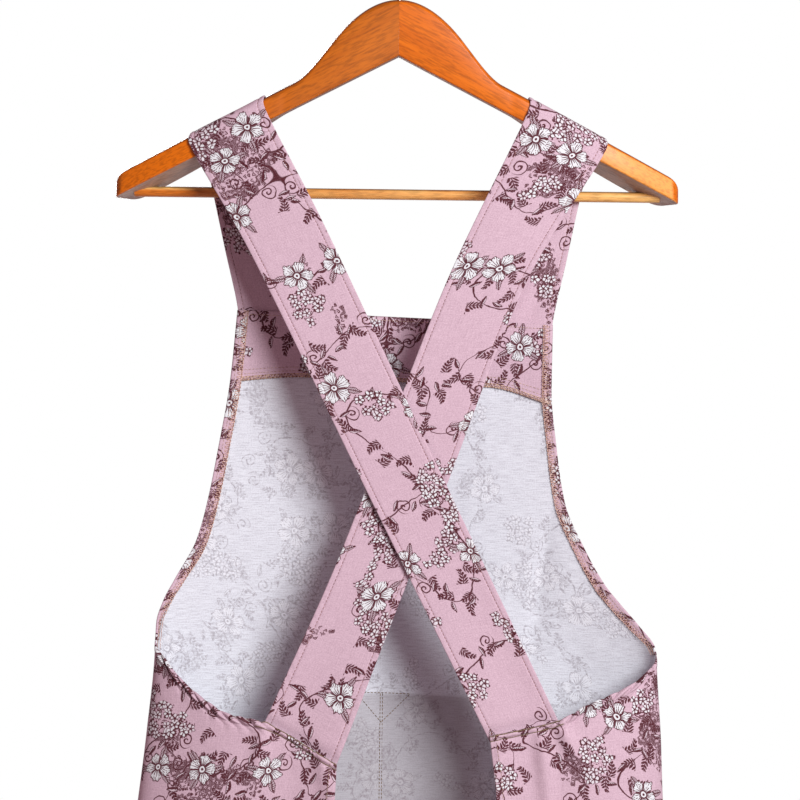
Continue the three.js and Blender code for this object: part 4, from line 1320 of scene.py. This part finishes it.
# Back wings
# The skirt comes round from the side folds as two wings with free back edges. Their sloping top edges
# carry a narrow rolled hem, whip stitched in brown thread that pulls it into a slanting rope.
BACK_TOPS = {
    "across": (0, 0.1, 0.2, 0.33, 0.46, 0.62, 1),
    "left": (-568.5, -581, -597, -612, -623, -628.5, -661),
    "right": (-576, -587, -597, -605.5, -613, -625, -637.5),
}
BACK_EDGES = {"z": (-560, -690, -1060), "left": (-38, -43, -62), "right": (66, 84, 106)}
WING_COLUMNS = 200
WING_FINE_ROWS = 16  # over the rolled hem and a little below
WING_FINE_REACH = 1.7  # of the rolled hem
WING_ROWS = 104
WING_SEEDS = {"left": 23, "right": 29}
ROLLED_HEM = 5.6
ROLL_HEIGHT = 2.7
ROLL_START = 14.0  # from the side fold to the full roll
ROPE_BACK = 0.5  # share of the rope that stands out at the back
TWIST_PITCH = 12.5
TWIST_SLANT = -0.85  # of a pitch, across the hem
TWIST_CREASE = 0.95  # how deep the creases between the twists go
TWIST_ROUND = 0.8
TWIST_UNEVEN, TWIST_SEED = 0.5, 5
WHIP_PITCH, WHIP_LENGTH, WHIP_WIDTH = 1.9, 2.5, 0.8
PULL_REACH = 13.0  # how far below the hem the cloth is pulled
PULL_HEIGHT = 1.5
PULL_LEVEL = 0.7  # of a twist's height, where the cloth stays put
PULL_BACK = 0.6
EDGE_WAVE = 1.1
SEWN_HEM = 4.0  # where a strap is sewn in
SEWN_TWIST = 0.25  # share of the twist that is left there
SEWN_BLEND = 0.06
DRAGS = {  # folds where the straps pull: x and z of the start, heading, length, width, height
    "left": ((-98.0, -630.0, -100.0, 60.0, 6.0, 3.4), (-55.0, -652.0, -75.0, 70.0, 7.0, 3.6)),
    "right": (
        (131.0, -627.0, -58.0, 60.0, 6.0, 4.2),
        (118.0, -632.0, -84.0, 90.0, 7.0, 4.6),
        (90.0, -640.0, -100.0, 60.0, 6.0, 3.4),
    ),
}
WING_EDGE_HEM, EDGE_BLEND = 7.0, 1.0
WING_SHIFT = {"left": (540.0, 1138.0), "right": (570.0, 516.0)}
WING_EDGE_COLUMN = -8
WING_HEM_ROW = -5
STRAP_SEAM_SHARE = 0.6  # from here to the back edge the top is sewn to a strap
SEAM_AND_GAP_SHADOW_ROWS = (1, 7)  # along the top edge, dark and unbroken as a painted shadow of the gap behind the hem, and below the rolled hem
SEAM_PITCH, SEAM_LENGTH, SEAM_WIDTH = 2.2, 2.9, 1.15


def drag_folds(side, x, z):
    """Folds that run out from the strap ends: a bell across each line, which swells and dies out along
    it."""
    total = np.zeros_like(x)
    for start_x, start_z, heading, length, width, height in DRAGS[side]:
        ahead, up = np.cos(np.radians(heading)), np.sin(np.radians(heading))
        along = ((x - start_x) * ahead + (z - start_z) * up) / length
        aside = (z - start_z) * ahead - (x - start_x) * up
        swell = np.sin(np.pi * np.sqrt(np.clip(along, 0, 1)))
        total += height * swell * bell(aside, width)
    return total


wing_across = np.linspace(0, 1, WING_COLUMNS)[None, :]
wing_fine = np.linspace(0, WING_FINE_REACH * ROLLED_HEM, WING_FINE_ROWS)
rope_rows = np.nonzero(wing_fine <= ROLLED_HEM)[0]
sewn_in = grown(wing_across, STRAP_SEAM_SHARE, STRAP_SEAM_SHARE + SEWN_BLEND)
roll = mix(ROLLED_HEM, SEWN_HEM, sewn_in)
twisted = mix(1.0, SEWN_TWIST, sewn_in)
for wing_side, turned in (("left", 1), ("right", -1)):
    wing_top = read(BACK_TOPS["across"], BACK_TOPS[wing_side], wing_across)
    wing_drop = np.concatenate([
        np.broadcast_to(wing_fine[:, None], (WING_FINE_ROWS, WING_COLUMNS)),
        mix(wing_fine[-1], wing_top - HEM, np.linspace(0, 1, WING_ROWS)[1:, None]),
    ])
    wing_z = wing_top - wing_drop
    fold_x = level(wing_side, wing_z)
    edge_x = read(BACK_EDGES["z"], BACK_EDGES[wing_side], wing_z)
    inset = SEAM_INSET * (1 - wing_across)
    wing_grid, wing_run = on_body("back", fold_x, edge_x, wing_z, wing_across, inset)
    _, wing_width = on_body("back", fold_x, edge_x, wing_z, 1.0)
    wing_uv = np.stack([turned * wing_run, wing_z], axis=-1) + WING_SHIFT[wing_side]
    wing_grid[..., 1] += wrinkles(wing_run, wing_z, WING_SEEDS[wing_side])
    wing_grid[..., 1] -= drag_folds(wing_side, wing_grid[..., 0], wing_z)
    from_fold = grown(wing_run, 0, ROLL_START)
    rolled = np.sqrt(np.clip(1 - (2 * wing_drop / roll - 1) ** 2, 0, 1)) * from_fold
    uneven = wrinkles(wing_run, 0 * wing_run, TWIST_SEED) * TWIST_UNEVEN
    twist = wing_run / TWIST_PITCH + uneven + wing_drop / ROLLED_HEM * TWIST_SLANT
    lump = np.abs(np.sin(np.pi * twist)) ** TWIST_ROUND
    rope = ROLL_HEIGHT * rolled * (1 - TWIST_CREASE * twisted * (1 - lump))
    pull = (lump - PULL_LEVEL) * twisted * from_fold
    wing_grid[..., 2] += EDGE_WAVE * pull * bell(wing_drop, ROLLED_HEM)
    pull = PULL_HEIGHT * pull * bell(wing_drop, PULL_REACH)
    edge_hem = grown(wing_run, wing_width - WING_EDGE_HEM, wing_width - WING_EDGE_HEM + EDGE_BLEND)
    wing_hem = np.maximum(turned_hem(wing_z), HEM_LAYERS * edge_hem)
    wing_out = CLOTH_HALF + rope + pull + wing_hem
    wing_back = CLOTH_HALF + ROPE_BACK * rope - PULL_BACK * pull + wing_hem
    wing, wing_outer, wing_inner, wing_normal = cloth_piece(
        f"wing_cloth_{wing_side}", wing_grid[:, ::turned], wing_out[:, ::turned], wing_back[:, ::turned],
        wing_uv[:, ::turned], CLOTH_FACES,
    )
    from_side = np.arange(WING_COLUMNS)[::turned]
    wing_stitching = stitching(f"wing_stitching_{wing_side}", [
        line for at in (np.s_[:, from_side[WING_EDGE_COLUMN]], WING_HEM_ROW)
        for line in both_faces(wing_outer, wing_inner, wing_normal, at)
    ])
    sewn = np.nonzero(wing_across[0, ::turned] > STRAP_SEAM_SHARE)[0]
    # Brown seam thread; its row along the top edge is also a painted shadow of the gap where the strap goes
    # in behind the hem.
    strap_seam_and_gap_shadow = thread_piece(f"strap_seam_and_gap_shadow_{wing_side}", [
        stitch_row(wing_outer[r, sewn], wing_normal[r, sewn], SEAM_PITCH, SEAM_LENGTH, SEAM_WIDTH)
        for r in SEAM_AND_GAP_SHADOW_ROWS
    ], BROWN_THREAD)
    last_free = int(STRAP_SEAM_SHARE * WING_COLUMNS)
    creases = np.arange(math.ceil(twist[rope_rows, 0].max()), twist[rope_rows, last_free].min())
    at_crease = np.stack([np.interp(creases, twist[r], np.arange(WING_COLUMNS)) for r in rope_rows])
    whip_stitching = thread_piece(f"whip_stitching_{wing_side}", [
        stitch_row(wing_outer[rope_rows, c], wing_normal[rope_rows, c], WHIP_PITCH, WHIP_LENGTH, WHIP_WIDTH)
        for c in from_side[np.round(at_crease).astype(int)].T
    ], BROWN_THREAD)
    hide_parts(f"back_panel_{wing_side}")

# Straps
# Each strap is a wide flat tube of print, turned right side out, pressed and edge stitched. It is sewn
# into the bib's top seam, lies over the hanger arm and crosses at the back to the far wing, where it is
# sewn in.
STRAP_CLEAR = 1.6
STRAP_TUCK = 12.0
CLOTH_WALL = 1.2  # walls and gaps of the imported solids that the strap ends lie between
STRAP_WALL = 1.6
PIECE_GAP = 0.3
TUCK_ROOM = 0.2
FRONT_LEG_Y = 38.4
WRAP_STEPS = 6
STRAP_HALF = 0.62
STRAP_ROUND, ROUND_LEAST = 0.8, 0.05  # of the pressed edges
STITCH_INSET = 4.8
STITCH_DIP, DIP_WIDTH = 0.44, 0.5
EDGE_PLACES = (0.0, 0.25, 0.8, 1.8, 3.2, 4.1, 4.5, 4.8, 5.1, 5.5, 6.4, 8.0)  # close at the stitching
MIDDLE_COLUMNS = 16
STATION_STEPS = 40
STRAP_ROW = 2.6
STRAP_SETTLE = 40.0  # from each end to where it hangs free
STRAP_WRINKLE = 0.35
EDGE_RIPPLE, RIPPLE_PITCH, RIPPLE_REACH = 0.3, 9.5, 5.0
SEAM_CREASE, CREASE_WIDTH, CREASE_LENGTH, CREASE_REACH = 0.9, 19.0, 80.0, 60.0
SEAM_DIP = 2.4  # how far a strap dips in behind the wing's hem
SEAM_DIP_REACH = 5.0
STRAP_BACK_SHIFT = (90.0, 15.0)  # between the cuts of the two faces
STRAP_CUT = (0.062, 0.76)
STRAPS = {
    "left": {
        "arm": (-161.5, -105.5),
        "bib": (-127.0, -67.0),
        "bar": (-148.5, -89.0),
        "back": ((-117, -257, -58.5, -235, -10), (-20.5, -448, 36, -430, -22)),
        "end": (75.5, -637.4, 131.5, -625),
        "heading": (0.44, -0.9),
        "shift": (188.0, 470.0),
        "seed": 41,
    },
    "right": {
        "arm": (162.0, 103.5),
        "bib": (126.5, 65.5),
        "bar": (148.0, 88.0),
        "back": (
            (104, -279, 41, -279, -10),
            (40, -447, -22.5, -448, -16.5),
            (11, -521, -50.5, -520, -19.5),
        ),
        "end": (-41.5, -661, -98.5, -628.6),
        "heading": (-0.38, -0.92),
        "shift": (-622.0, 132.0),
        "seed": 47,
    },
}


def strap_stations(plan, share):
    """The places that a strap passes through, for shares across it from its outer to its inner edge: its
    end in the bib's seam, up to the bar, round over the arm, down the back and into the far wing's
    edge."""
    side = np.sign(plan["arm"][0])
    bib_x = mix(*plan["bib"], share)
    hole_left, hole_right = ARMHOLES["left"][0], ARMHOLES["right"][0]
    bib_top = mix(BIB_TOP_LEFT, BIB_TOP_RIGHT, (bib_x - hole_left) / (hole_right - hole_left))
    seam_step = (CLOTH_WALL + STRAP_WALL) / 2 + PIECE_GAP
    in_seam = [
        np.stack([bib_x, body_y("front", bib_x, z) - seam_step, z], axis=-1)
        for z in (bib_top - STRAP_TUCK, bib_top)
    ]
    at_bar = np.stack(np.broadcast_arrays(mix(*plan["bar"], share), FRONT_LEG_Y, BAR_Z), axis=-1)
    stations = in_seam + [mix(in_seam[1], at_bar, 0.5), at_bar]
    arm_x = mix(*plan["arm"], share)
    arm = arm_at(np.abs(arm_x))
    for turn in np.linspace(0, np.pi, WRAP_STEPS + 1):
        out = (arm["half"] + STRAP_CLEAR) * np.cos(turn)
        rise = (ARM_CROWN + STRAP_CLEAR) * np.sin(turn) - ARM_CROWN
        wrap = arm_x + side * out * arm["out_x"], arm["middle"] + out * arm["out_y"], arm["top"] + rise
        stations.append(np.stack(wrap, axis=-1))
    for outer_x, outer_z, inner_x, inner_z, y in plan["back"]:
        row = mix(outer_x, inner_x, share), y, mix(outer_z, inner_z, share)
        stations.append(np.stack(np.broadcast_arrays(*row), axis=-1))
    outer_x, outer_z, inner_x, inner_z = plan["end"]
    for tuck in (0.0, STRAP_TUCK):
        x = mix(outer_x, inner_x, share) + tuck * plan["heading"][0]
        z = mix(outer_z, inner_z, share) + tuck * plan["heading"][1]
        stations.append(np.stack([x, body_y("back", x, z) + seam_step + TUCK_ROOM, z], axis=-1))
    return np.stack(stations)


strap_width = STRAP_CUT[0] / MM
edge_places = np.array(EDGE_PLACES)
middle_places = np.linspace(edge_places[-1], strap_width - edge_places[-1], MIDDLE_COLUMNS)[1:-1]
strap_places = np.concatenate([edge_places, middle_places, strap_width - edge_places[::-1]])
stitch_columns = [
    int(np.argmin(np.abs(strap_places - place))) for place in (STITCH_INSET, strap_width - STITCH_INSET)
]
for strap_side, plan in STRAPS.items():
    turned = -int(np.sign(plan["arm"][0]))
    stations = strap_stations(plan, strap_places / strap_width)
    dense = np.linspace(0, len(stations) - 1, STATION_STEPS * (len(stations) - 1) + 1)
    run = run_along(smooth_path(stations, dense)[:, len(strap_places) // 2])
    strap_run = np.linspace(0, run[-1], int(run[-1] / STRAP_ROW))
    strap_grid = smooth_path(stations, np.interp(strap_run, run, dense))
    places, runs = np.broadcast_arrays(strap_places[None, :], strap_run[:, None])
    to_edge = np.minimum(places, strap_width - places)
    hanging = grown(np.minimum(runs, run[-1] - runs), 0, STRAP_SETTLE)
    ripple = STRAP_WRINKLE * wrinkles(places, runs, plan["seed"])
    waves = np.sin(2 * np.pi * runs / RIPPLE_PITCH + places)
    ripple += EDGE_RIPPLE * waves * np.exp(-to_edge / RIPPLE_REACH)
    crease = np.sin(2 * np.pi * (places / CREASE_WIDTH + runs / CREASE_LENGTH))
    ripple += SEAM_CREASE * crease * bell(runs, CREASE_REACH)
    strap_grid = strap_grid + turned * facing_out(strap_grid) * (ripple * hanging)[..., None]
    to_seam = np.maximum(run[-1] - STRAP_TUCK - runs, 0.0)
    strap_grid[..., 1] += SEAM_DIP * bell(to_seam, SEAM_DIP_REACH)
    strap_half = STRAP_HALF * rounded(to_edge, STRAP_ROUND, ROUND_LEAST)
    strap_half -= STITCH_DIP * bell(to_edge - STITCH_INSET, DIP_WIDTH)
    strap_uv = (np.stack([places, -runs], axis=-1) + plan["shift"])[:, ::turned]
    strap, strap_outer, strap_inner, strap_normal = cloth_piece(
        f"strap_cloth_{strap_side}", strap_grid[:, ::turned], strap_half, strap_half, strap_uv,
        [PRINTED_COTTON], back_uv=strap_uv + STRAP_BACK_SHIFT,
    )
    strap_stitching = stitching(f"strap_stitching_{strap_side}", [
        line for c in stitch_columns
        for line in both_faces(strap_outer, strap_inner, strap_normal, np.s_[:, c])
    ], ROSE_THREAD)
    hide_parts(f"strap_{strap_side}")
